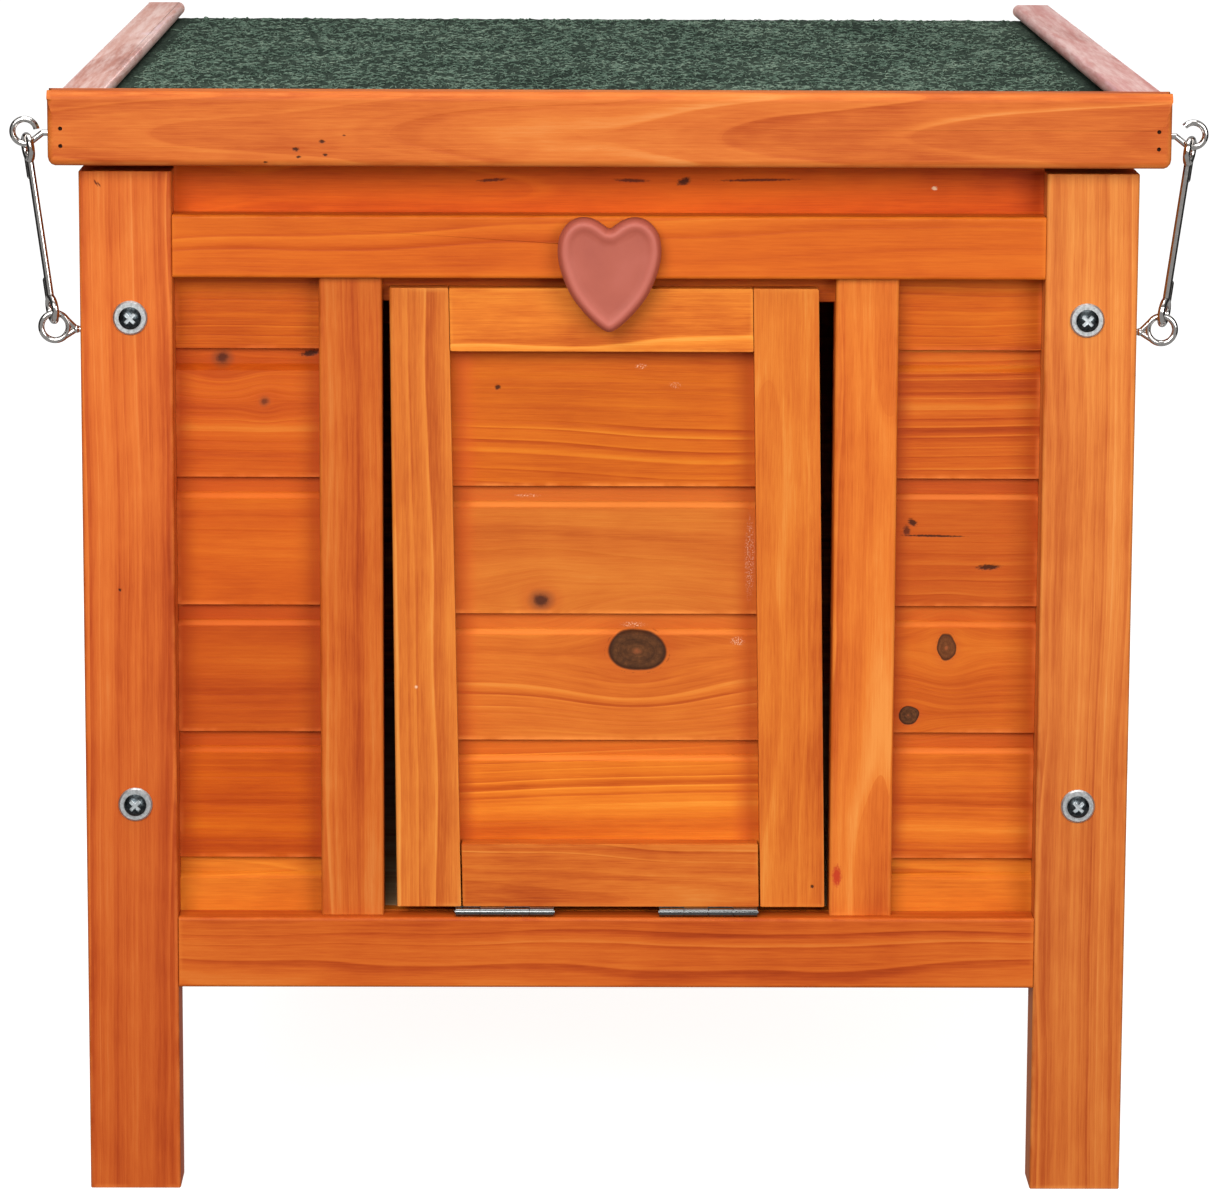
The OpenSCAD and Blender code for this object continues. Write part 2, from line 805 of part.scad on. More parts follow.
// Wire link standing on the eye's centre: a loop at each end, closed by a short tail beside the shaft.
module link_right() {
    low = link_bottom + loop_r;
    high = link_length - loop_r;
    tail_side = 2 * link_r - 0.1;
    tail_drop = sqrt(loop_r * loop_r - tail_side * tail_side);
    tail_end = link_tail - loop_r - link_r;
    color(steel) translate([eye_x, link_y, eye_z]) rotate([0, link_angle, 0])
        rotate([0, 0, 90 - link_twist]) {
            for (z = [low, high]) translate([0, 0, z]) wire_arc(loop_r, link_r, 0, 360);
            wire_line([0, low + loop_r], [0, high - loop_r], link_r);
            wire_line([tail_side, low + tail_drop], [tail_side, low + tail_end], link_r);
            wire_line([tail_side, high - tail_drop], [tail_side, high - tail_end], link_r);
        }
}

module link_left() mirrored_x() link_right();

// ---------- output ----------

leg_front_left();
leg_front_right();
leg_back_left();
leg_back_right();
front_upper_rail();
front_lower_rail();
front_stile_left();
front_stile_right();
front_boards_top();
front_boards_left();
front_boards_right();
front_board_bottom();
back_upper_rail();
back_lower_rail();
back_boards();
side_boards_left();
side_boards_right();
side_battens_left();
side_battens_right();
side_rails_left();
side_rails_right();
floor_panel();
leg_screws();
leg_washers();
eye_screw_left();
eye_screw_right();
latch_screw();
door_hinge_rail_leaves();
door_hinge_pins();
door_hinge_rail_screws();
roof_hinge_body_leaves();
roof_hinge_pins();
roof_hinge_body_screws();
door_stile_left();
door_stile_right();
door_top_rail();
door_bottom_rail();
door_boards();
door_hinge_door_leaves();
door_hinge_door_screws();
roof_fascia();
roof_rail_left();
roof_rail_right();
roof_rail_back();
roof_board();
roof_felt();
roof_batten_left();
roof_batten_right();
fascia_nails();
hook_screw_left();
hook_screw_right();
roof_hinge_lid_leaves();
roof_hinge_lid_screws();
heart_latch();
link_left();
link_right();
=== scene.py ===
"""Looks of a small wooden rabbit hutch: stained softwood, felted roof, plated hardware and a heart latch."""

import json
import math
import random

import bpy
import numpy as np
from mathutils import Matrix, Vector, noise


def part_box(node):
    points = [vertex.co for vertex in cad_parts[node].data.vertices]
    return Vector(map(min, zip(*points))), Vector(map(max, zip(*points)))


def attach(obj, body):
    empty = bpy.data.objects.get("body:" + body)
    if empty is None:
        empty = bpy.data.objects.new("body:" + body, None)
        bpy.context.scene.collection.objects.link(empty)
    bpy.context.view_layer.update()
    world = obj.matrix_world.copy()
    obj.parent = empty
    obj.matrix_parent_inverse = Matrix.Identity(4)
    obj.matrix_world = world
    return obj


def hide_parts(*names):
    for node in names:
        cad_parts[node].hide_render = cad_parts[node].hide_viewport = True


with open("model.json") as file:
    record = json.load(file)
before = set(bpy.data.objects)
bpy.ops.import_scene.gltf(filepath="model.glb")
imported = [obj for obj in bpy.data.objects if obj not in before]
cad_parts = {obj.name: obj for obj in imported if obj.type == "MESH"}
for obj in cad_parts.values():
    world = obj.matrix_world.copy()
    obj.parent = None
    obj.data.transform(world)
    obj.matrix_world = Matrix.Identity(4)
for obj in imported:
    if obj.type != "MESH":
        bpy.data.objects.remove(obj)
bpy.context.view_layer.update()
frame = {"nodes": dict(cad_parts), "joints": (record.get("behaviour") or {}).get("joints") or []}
nodes = frame["nodes"]
scene = bpy.context.scene
MM = 0.001


# ---------- shader graphs ----------


def linear(rgb):
    """Scene-linear colour of an sRGB colour given in 0..255."""
    out = []
    for channel in rgb:
        c = channel / 255
        out.append(c / 12.92 if c <= 0.04045 else ((c + 0.055) / 1.055) ** 2.4)
    return (*out, 1.0)


def ratio(rgb, of):
    """Linear factor that turns one sRGB colour into another."""
    return (*[a / b for a, b in zip(linear(rgb)[:3], linear(of)[:3])], 1.0)


class Graph:
    """One procedural material and short calls that add its nodes."""

    def __init__(self, name):
        self.material = bpy.data.materials.new(name)
        self.material.use_nodes = True
        self.tree = self.material.node_tree
        self.tree.nodes.clear()
        self.shader = self.tree.nodes.new("ShaderNodeBsdfPrincipled")
        output = self.tree.nodes.new("ShaderNodeOutputMaterial")
        self.tree.links.new(self.shader.outputs[0], output.inputs[0])

    def feed(self, socket, value):
        if isinstance(value, bpy.types.NodeSocket):
            self.tree.links.new(value, socket)
        elif value is not None:
            socket.default_value = value

    def math(self, operation, a, b=None, c=None):
        node = self.tree.nodes.new("ShaderNodeMath")
        node.operation = operation
        for socket, value in zip(node.inputs, (a, b, c)):
            self.feed(socket, value)
        return node.outputs[0]

    def add(self, *terms):
        total = terms[0]
        for term in terms[1:]:
            total = self.math("ADD", total, term)
        return total

    def mul(self, *factors):
        product = factors[0]
        for factor in factors[1:]:
            product = self.math("MULTIPLY", product, factor)
        return product

    def millimetres(self):
        """Place in the row frame, in millimetres, as three sockets."""
        place = self.tree.nodes.new("ShaderNodeTexCoord")
        split = self.tree.nodes.new("ShaderNodeSeparateXYZ")
        self.feed(split.inputs[0], place.outputs["Object"])
        return [self.mul(axis, 1000.0) for axis in split.outputs]

    def vector(self, x, y, z):
        node = self.tree.nodes.new("ShaderNodeCombineXYZ")
        for socket, value in zip(node.inputs, (x, y, z)):
            self.feed(socket, value)
        return node.outputs[0]

    def noise(self, vector, detail=2.0, rough=0.5, distort=0.0):
        node = self.tree.nodes.new("ShaderNodeTexNoise")
        self.feed(node.inputs["Vector"], vector)
        node.inputs["Scale"].default_value = 1.0
        node.inputs["Detail"].default_value = detail
        node.inputs["Roughness"].default_value = rough
        node.inputs["Distortion"].default_value = distort
        return node.outputs["Fac"]

    def noise1(self, w, detail=1.0, rough=0.5):
        node = self.tree.nodes.new("ShaderNodeTexNoise")
        node.noise_dimensions = "1D"
        self.feed(node.inputs["W"], w)
        node.inputs["Scale"].default_value = 1.0
        node.inputs["Detail"].default_value = detail
        node.inputs["Roughness"].default_value = rough
        return node.outputs["Fac"]

    def random(self, w):
        """Three random numbers in 0..1 for each whole number w."""
        node = self.tree.nodes.new("ShaderNodeTexWhiteNoise")
        node.noise_dimensions = "1D"
        self.feed(node.inputs["W"], w)
        split = self.tree.nodes.new("ShaderNodeSeparateColor")
        self.feed(split.inputs[0], node.outputs["Color"])
        return split.outputs[0], split.outputs[1], split.outputs[2]

    def cells(self, vector, randomness=1.0):
        """Distance to the nearest Voronoi point and that point's random number."""
        node = self.tree.nodes.new("ShaderNodeTexVoronoi")
        self.feed(node.inputs["Vector"], vector)
        node.inputs["Scale"].default_value = 1.0
        node.inputs["Randomness"].default_value = randomness
        split = self.tree.nodes.new("ShaderNodeSeparateColor")
        self.feed(split.inputs[0], node.outputs["Color"])
        return node.outputs["Distance"], split.outputs[0]

    def step(self, value, low, high, to_low=0.0, to_high=1.0):
        """Smooth step of value from low to high."""
        node = self.tree.nodes.new("ShaderNodeMapRange")
        node.interpolation_type = "SMOOTHSTEP"
        for socket, number in zip(node.inputs[:5], (value, low, high, to_low, to_high)):
            self.feed(socket, number)
        return node.outputs[0]

    def ramp(self, value, stops):
        node = self.tree.nodes.new("ShaderNodeValToRGB")
        self.feed(node.inputs[0], value)
        points = node.color_ramp.elements
        while len(points) < len(stops):
            points.new(0.5)
        for point, (place, colour) in zip(points, stops):
            point.position = place
            point.color = colour
        return node.outputs[0]

    def mix(self, factor, a, b, blend="MIX"):
        node = self.tree.nodes.new("ShaderNodeMix")
        node.data_type = "RGBA"
        node.blend_type = blend
        self.feed(node.inputs["Factor"], factor)
        self.feed(node.inputs[6], a)
        self.feed(node.inputs[7], b)
        return node.outputs[2]

    def bump(self, height, strength, distance):
        node = self.tree.nodes.new("ShaderNodeBump")
        self.feed(node.inputs["Height"], height)
        node.inputs["Strength"].default_value = strength
        node.inputs["Distance"].default_value = distance
        self.feed(self.shader.inputs["Normal"], node.outputs[0])

    def surface(self, **sockets):
        for name, value in sockets.items():
            self.feed(self.shader.inputs[name.replace("_", " ")], value)
        return self.material


# ---------- wood ----------

# Axes along the grain, across the widest face and through it
TREES = {"xz": (0, 2, 1), "xy": (0, 1, 2), "zx": (2, 0, 1), "yz": (1, 2, 0), "yx": (1, 0, 2)}
# Share of the mean colour at places from the darkest grain to the palest
STAIN_STOPS = [
    (0.0, (0.52, 0.30, 0.26)), (0.26, (0.78, 0.60, 0.55)), (0.5, (1.0, 1.0, 1.0)),
    (0.7, (1.13, 1.34, 1.45)), (1.0, (1.24, 1.95, 3.2)),
]
KNOT_BROWNS = [
    (0.3, linear((52, 28, 14))), (0.48, linear((76, 44, 22))),
    (0.62, linear((98, 58, 30))), (0.82, linear((136, 76, 40))),
]
RED, SCAR, HOLE, PUTTY = (176, 44, 22), (92, 36, 16), (44, 18, 8), (236, 200, 160)
# Heights of the joints between the boards of the walls and of the door
BOARD_SPLITS = [128.8 + 49.6 * row for row in range(6)]
DOOR_SPLITS = (126.0, 175.4, 224.9, 274.4)
# How far the middle of a board's top slope is below the joint, and half the slope's height
LIP, LIP_HALF = 7.3, 0.95
FAR_OFF = 100.0


def spot(g, u, v, knot):
    """Distance from the middle of an oval as a share of its radii."""
    cu, cv, ru, rv = knot[:4]
    du = g.math("DIVIDE", g.math("SUBTRACT", u, cu), ru)
    dv = g.math("DIVIDE", g.math("SUBTRACT", v, cv), rv)
    return du, dv, g.math("SQRT", g.add(g.mul(du, du), g.mul(dv, dv)))


def centred(g, value, amount):
    """Values in 0..1 turned into a swing of the given size about zero."""
    return g.mul(g.math("SUBTRACT", value, 0.5), amount)


def shade(base, red, green, blue):
    """A linear colour with each channel multiplied, kept below white."""
    return (min(base[0] * red, 1.0), min(base[1] * green, 1.0), min(base[2] * blue, 1.0), 1.0)


def nearest(g, place, lines):
    """Distance from a place to the nearest of some lines, in millimetres."""
    gap = FAR_OFF
    for line in lines:
        gap = g.math("MINIMUM", gap, g.math("ABSOLUTE", g.add(place, -line)))
    return gap


def part_round_knots(g, u, v, knots):
    """The place across the grain, pulled together so that grain lines part round each knot."""
    flow = v
    for cu, cv, ru, rv, *_ in knots:
        du, dv, _ = spot(g, u, v, (cu, cv, ru * 3.2, rv * 2.6))
        pull = g.math("EXPONENT", g.mul(g.add(g.mul(du, du), g.mul(dv, dv)), -1.0))
        flow = g.math("SUBTRACT", flow, g.mul(pull, g.math("SUBTRACT", v, cv), 0.8))
    return flow


def vary_boards(g, v, splits, seed):
    """Shift along and across the grain, tint and chance of the board at v; boards in one node differ."""
    if not splits:
        return seed * 173.0, 0.0, 0.0, 0.5
    count = float(seed)
    for split in splits:
        count = g.add(count, g.math("GREATER_THAN", v, split))
    first, chance, third = g.random(count)
    shift_u = g.mul(first, 1900.0)
    shift_v = g.mul(g.math("SUBTRACT", chance, 0.5), 70.0)
    return shift_u, shift_v, g.math("SUBTRACT", third, 0.5), chance


def grain_zone(g, v, run, rise, bands):
    """How strongly the rings show: in stretches across the board, or in the bands named."""
    if not bands:
        patches = g.noise(g.vector(g.mul(run, 0.0015), g.mul(rise, 0.045), 11.0), 1.0)
        return g.step(patches, 0.4, 0.62, 0.3, 1.0)
    zone = 0.25
    for low_v, high_v in bands:
        band = g.mul(g.step(v, low_v - 2.0, low_v + 2.0), g.step(v, high_v - 2.0, high_v + 2.0, 1.0, 0.0))
        zone = g.math("MAXIMUM", zone, g.mul(band, 1.3))
    return zone


def tone_boards(g, colour, v, splits, rows, mean):
    """Each board takes its own mean colour, from the lowest up."""
    tone = ratio(rows[0], mean)
    for split, row in zip(splits, rows[1:]):
        tone = g.mix(g.math("GREATER_THAN", v, split), tone, ratio(row, mean))
    return g.mix(1.0, colour, tone, "MULTIPLY")


def paint_shade_downward(g, colour, z, bottom, top, shade_falloff):
    """Painted shade: darker and redder towards the ground, paler and yellower at the top where more light
    falls.
    """
    shaded = (1 - shade_falloff, 1 - shade_falloff * 1.35, 1 - shade_falloff * 1.6, 1.0)
    painted_lit_top = (1 + shade_falloff * 0.4, 1 + shade_falloff * 1.2, 1 + shade_falloff * 1.8, 1.0)
    return g.mix(1.0, colour, g.mix(g.step(z, bottom, top), shaded, painted_lit_top), "MULTIPLY")


def paint_lip_highlight_and_groove_shade(g, colour, base, z, splits, chance):
    """Painted highlight on the slope at the top of each board, where it faces the light, and painted shade in
    the channel above it, under the board above.
    """
    # Painted highlight on the upward slope, stronger on some boards than on others
    line = nearest(g, g.add(z, LIP), splits)
    pale_edge = g.mul(g.step(line, LIP_HALF - 0.5, LIP_HALF + 0.3, 1.0, 0.0), g.add(0.2, g.mul(chance, 0.45)))
    colour = g.mix(pale_edge, colour, shade(base, 1.2, 1.7, 2.3))
    # Painted shade in the channel under the upper board's edge
    half = (LIP - LIP_HALF) / 2
    line = nearest(g, g.add(z, half), splits)
    return g.mix(g.step(line, half - 0.7, half + 0.2, 0.4, 0.0), colour, shade(base, 0.74, 0.58, 0.5))


def pool_stain_and_shade(g, colour, base, x, z, sides):
    """Stain that has gathered beside the frame, together with painted shade where the frame shades the
    boards.
    """
    gap = nearest(g, x, sides)
    ragged_reach = g.noise(g.vector(g.mul(x, 0.1), 0.0, g.mul(z, 0.03)), 2.0)
    # Darker near the frame: pooled stain and painted shade
    stain_and_shade = g.step(g.add(gap, g.mul(ragged_reach, 5.0)), 1.5, 10.0, 0.6, 0.0)
    return g.mix(stain_and_shade, colour, shade(base, 0.74, 0.52, 0.46))


def paint_doorway_shadow(g, colour, base, x, z, bottom, doorway):
    """Painted shadow on the lowest stretch of the boards between the stiles, in the recess above the door."""
    left, right = doorway
    inside = g.mul(g.math("GREATER_THAN", x, left), g.math("LESS_THAN", x, right))
    low_edge = g.step(z, bottom + 12.0, bottom + 22.0, 0.85, 0.0)
    return g.mix(g.mul(inside, low_edge), colour, shade(base, 0.3, 0.16, 0.3))


def soft_knot(g, colour, relief, far, rays, dark):
    """A knot that fades out from a soft dark core."""
    colour = g.mix(g.step(far, 0.55, 1.2, 0.62 * dark, 0.0), colour, linear((120, 62, 34)))
    core = g.step(g.add(far, g.mul(rays, 0.5)), 0.5, 0.95, 0.85 * dark, 0.0)
    return g.mix(core, colour, linear((58, 26, 18))), g.add(relief, g.mul(core, -0.6))


def hard_knot(g, colour, relief, far, rays, dark, turns):
    """A brown knot with a reddish middle, a dark rim and a broken crack round it."""
    brown = g.ramp(g.add(g.mul(turns, 0.35), g.mul(rays, 0.65)), KNOT_BROWNS)
    centre = g.step(g.add(far, g.mul(rays, 0.6)), 0.25, 0.5, 0.6, 0.0)
    brown = g.mix(centre, brown, linear((160, 84, 46)))
    colour = g.mix(g.mul(g.step(far, 0.92, 1.06, 1.0, 0.0), dark), colour, brown)
    rim = g.mul(g.step(far, 0.84, 0.95), g.step(far, 0.96, 1.08, 1.0, 0.0), 0.8 * dark)
    colour = g.mix(rim, colour, linear((46, 22, 10)))
    ring = g.mul(g.step(far, 1.1, 1.15), g.step(far, 1.15, 1.2, 1.0, 0.0))
    crack = g.mul(ring, g.step(rays, 0.5, 0.6), 0.5 * dark)
    return g.mix(crack, colour, linear((110, 44, 14))), g.add(relief, g.mul(rim, -1.2))


def draw_knots(g, colour, relief, u, v, knots, seed):
    """Knots: place, radii and darkness, with "soft" after them for a soft one."""
    for index, knot in enumerate(knots):
        _, _, far = spot(g, u, v, knot)
        size, dark, soft = knot[2], knot[4], len(knot) > 5
        wobble = g.noise(g.vector(g.mul(u, 0.6 / size), g.mul(v, 0.6 / size), float(index) + seed), 1.0)
        far = g.add(far, centred(g, wobble, 0.5))
        halo = g.mul(g.step(far, 0.9, 2.0, 1.0, 0.0), 0.34 * dark)
        colour = g.mix(halo, colour, linear((178, 74, 24)))
        rays = g.noise(g.vector(g.mul(u, 3.2 / size), g.mul(v, 3.2 / size), float(index) + 9.0), 4.0, 0.7)
        if soft:
            colour, relief = soft_knot(g, colour, relief, far, rays, dark)
        else:
            turns = g.noise1(g.add(g.mul(far, 6.5), float(index) * 3.1), 2.0)
            colour, relief = hard_knot(g, colour, relief, far, rays, dark, turns)
    return colour, relief


def draw_marks(g, colour, relief, u, v, marks):
    """Small dark scars and pinholes: place, radii, lean in degrees and tone."""
    for index, (cu, cv, ru, rv, lean, tone) in enumerate(marks):
        cos, sin = math.cos(math.radians(lean)), math.sin(math.radians(lean))
        a = g.add(g.mul(u, cos), g.mul(v, sin), -cu * cos - cv * sin)
        b = g.add(g.mul(v, cos), g.mul(u, -sin), -cv * cos + cu * sin)
        a, b = g.math("DIVIDE", a, ru), g.math("DIVIDE", b, rv)
        far = g.math("SQRT", g.add(g.mul(a, a), g.mul(b, b)))
        ragged = g.noise(g.vector(g.mul(u, 0.9), g.mul(v, 1.6), float(index)), 2.0)
        far = g.add(far, centred(g, ragged, 1.1))
        inside = g.mul(g.step(far, 0.45, 1.15, 1.0, 0.0), 0.9)
        colour = g.mix(inside, colour, linear(tone))
        relief = g.add(relief, g.mul(inside, -1.5))
    return colour, relief


def draw_dust(g, colour, u, v, dust):
    """Specks of pale dust left in the finish."""
    for cu, cv, ru, rv, amount in dust:
        _, _, far = spot(g, u, v, (cu, cv, ru, rv))
        speck = g.noise(g.vector(g.mul(u, 1.5), g.mul(v, 1.5), 4.0), 3.0, 0.7)
        shown = g.mul(g.step(far, 0.4, 1.1, amount, 0.0), g.step(speck, 0.5, 0.62))
        colour = g.mix(shown, colour, linear((236, 200, 168)))
    return colour


def edge_wear_and_highlight(g, place, low, high, across, splits, wear_and_highlight):
    """Wear and painted highlight at the edges of the piece's box and of its boards, broken up along its
    length.
    """
    near = [nearest(g, place[axis], (low[axis] / MM, high[axis] / MM)) for axis in range(3)]
    near[across] = g.math("MINIMUM", near[across], nearest(g, place[across], splits))
    smallest = g.math("MINIMUM", g.math("MINIMUM", near[0], near[1]), near[2])
    largest = g.math("MAXIMUM", g.math("MAXIMUM", near[0], near[1]), near[2])
    second_near = g.math("SUBTRACT", g.add(*near), g.add(smallest, largest))
    broken = g.noise(g.vector(*[g.mul(axis, 0.06) for axis in place]), 3.0, 0.6)
    return g.mul(g.step(second_near, 0.2, 2.2, 1.0, 0.0), g.step(broken, 0.34, 0.66), wear_and_highlight)


def draw_flecks(g, colour, place, flecks):
    """A few pale flecks where the finish has chipped."""
    far, chance = g.cells(g.vector(*[g.mul(axis, 0.055) for axis in place]))
    fleck = g.mul(g.step(far, 0.02, 0.055, 1.0, 0.0), g.step(chance, 1.0 - flecks, 1.0 - flecks + 0.02))
    return g.mix(g.mul(fleck, 0.8), colour, linear((240, 206, 172)))


def paint_sheen_streaks(g, colour, u, v, w, haze):
    """Painted sheen: whitish streaks along the grain that stand in for the gloss of the lit faces."""
    sheen_streak = g.noise(g.vector(g.mul(u, 0.009), g.mul(v, 0.21), g.mul(w, 0.1)), 4.0, 0.6, 0.3)
    wisp = g.noise(g.vector(g.mul(u, 0.05), g.mul(v, 0.8), g.mul(w, 0.3)), 3.0, 0.6)
    veil = g.add(g.mul(sheen_streak, 0.65), g.mul(wisp, 0.35))
    return g.mix(g.step(veil, 0.38, 0.66, 0.08, haze), colour, linear((246, 226, 220)))


def wood(
    name, grain, mean, low, high, seed, pith=(10.0, -55.0), spacing=3.4, slope=0.012, contrast=1.0,
    splits=(), bands=(), knots=(), marks=(), dust=(), pool_and_shade=(), doorway=(), flecks=0.0, haze=0.0, wear_and_highlight=0.5,
    shade_falloff=0.0, lips=False, rows=(),
):
    """Stained softwood. grain names the axis along the grain and the one across the widest face."""
    g = Graph(name)
    place = g.millimetres()
    along, across, through = TREES[grain]
    u, v, w = place[along], place[across], place[through]
    middle = [(a + b) / 2 / MM for a, b in zip(low, high)]
    flow = part_round_knots(g, u, v, knots)
    shift_u, shift_v, tint, chance = vary_boards(g, v, splits, seed)
    run = g.add(u, shift_u)
    rise = g.add(flow, shift_v, -middle[across] - pith[0])
    deep = g.add(w, -middle[through] - pith[1])

    # Rings round the pith, warped slowly along the board
    warp = g.noise(g.vector(g.mul(run, 0.0042), g.mul(rise, 0.012), g.mul(deep, 0.012)), 2.0)
    ripple = g.noise(g.vector(g.mul(run, 0.017), g.mul(rise, 0.05), 3.7), 1.0)
    radius = g.math("SQRT", g.add(g.mul(rise, rise), g.mul(deep, deep)))
    radius = g.add(radius, g.mul(run, slope), g.mul(warp, 11.0), g.mul(ripple, 0.9))
    ring = g.math("DIVIDE", radius, spacing)
    broad = g.noise1(g.mul(ring, 0.37), 1.0)
    fine = g.noise1(g.mul(ring, 1.7), 2.0, 0.6)
    uneven = g.add(ring, g.mul(g.noise1(g.mul(ring, 0.9)), 0.9))
    phase = g.math("FRACT", uneven)
    strength = g.step(g.noise1(g.add(g.mul(g.math("FLOOR", uneven), 0.73), 5.0)), 0.35, 0.7, 0.15, 1.0)
    late = g.mul(g.step(phase, 0.45, 0.93), g.step(phase, 0.93, 1.0, 1.0, 0.0), strength)
    pale = g.mul(g.step(phase, 0.0, 0.06), g.step(phase, 0.06, 0.3, 1.0, 0.0), strength)
    ramped = g.mul(g.math("SUBTRACT", phase, 0.5), strength)
    zone = grain_zone(g, v, run, rise, bands)

    # Fibres and slow patches
    fibre = g.noise(g.vector(g.mul(run, 0.02), g.mul(flow, 0.9), g.mul(w, 0.9)), 3.0, 0.6)
    thread = g.noise(g.vector(g.mul(run, 0.1), g.mul(flow, 2.4), g.mul(w, 2.4)), 3.0, 0.6)
    patch = g.noise(g.vector(g.mul(run, 0.011), g.mul(flow, 0.035), g.mul(w, 0.035)), 2.0)
    cloud = g.noise(g.vector(g.mul(run, 0.05), g.mul(flow, 0.09), g.mul(w, 0.09)), 3.0)
    value = g.add(
        0.5,
        centred(g, broad, 0.54 * contrast),
        centred(g, fine, 0.3 * contrast),
        centred(g, fibre, 0.34 * contrast),
        centred(g, thread, 0.34 * contrast),
        centred(g, patch, 0.46 * contrast),
        centred(g, cloud, 0.26 * contrast),
        g.mul(late, zone, -0.12 * contrast),
        g.mul(pale, zone, 0.26 * contrast),
        g.mul(ramped, zone, -0.24 * contrast),
        g.mul(tint, 0.10),
    )
    base = linear(mean)
    colour = g.ramp(value, [(stop, shade(base, *factors)) for stop, factors in STAIN_STOPS])
    if rows:
        colour = tone_boards(g, colour, v, splits, rows, mean)
    # Painted shade that deepens towards the ground
    if shade_falloff:
        colour = paint_shade_downward(g, colour, place[2], low[2] / MM, high[2] / MM, shade_falloff)
    # Painted highlight on the board lips and painted shade in the grooves
    if lips:
        colour = paint_lip_highlight_and_groove_shade(g, colour, base, place[2], splits, chance)
    # Pooled stain and painted shade beside the frame
    if pool_and_shade:
        colour = pool_stain_and_shade(g, colour, base, place[0], place[2], pool_and_shade)
    # Painted shadow in the recess above the doorway
    if doorway:
        colour = paint_doorway_shadow(g, colour, base, place[0], place[2], low[2] / MM, doorway)
    relief = g.add(g.mul(late, -0.5), g.mul(fibre, 0.5), g.mul(thread, 0.3))
    colour, relief = draw_knots(g, colour, relief, u, v, knots, seed)
    colour, relief = draw_marks(g, colour, relief, u, v, marks)
    colour = draw_dust(g, colour, u, v, dust)
    # Pale edges: wear together with painted highlight on edges that catch the light
    pale_edge = edge_wear_and_highlight(g, place, low, high, across, splits, wear_and_highlight)
    colour = g.mix(pale_edge, colour, shade(base, 1.25, 1.75, 2.3))
    if flecks:
        colour = draw_flecks(g, colour, place, flecks)
    # Painted sheen along the grain
    if haze:
        colour = paint_sheen_streaks(g, colour, u, v, w, haze)
    rough = g.add(0.40, g.mul(patch, 0.16), g.mul(late, -0.06), g.mul(pale_edge, 0.12), g.mul(thread, 0.06))
    g.bump(relief, 0.32, 0.00022)
    return g.surface(Base_Color=colour, Roughness=rough, IOR=1.45, Specular_IOR_Level=0.16)


def gap_between(left, right):
    """Where the faces of two pieces look at each other across the boards, in millimetres."""
    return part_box(left)[1].x / MM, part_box(right)[0].x / MM


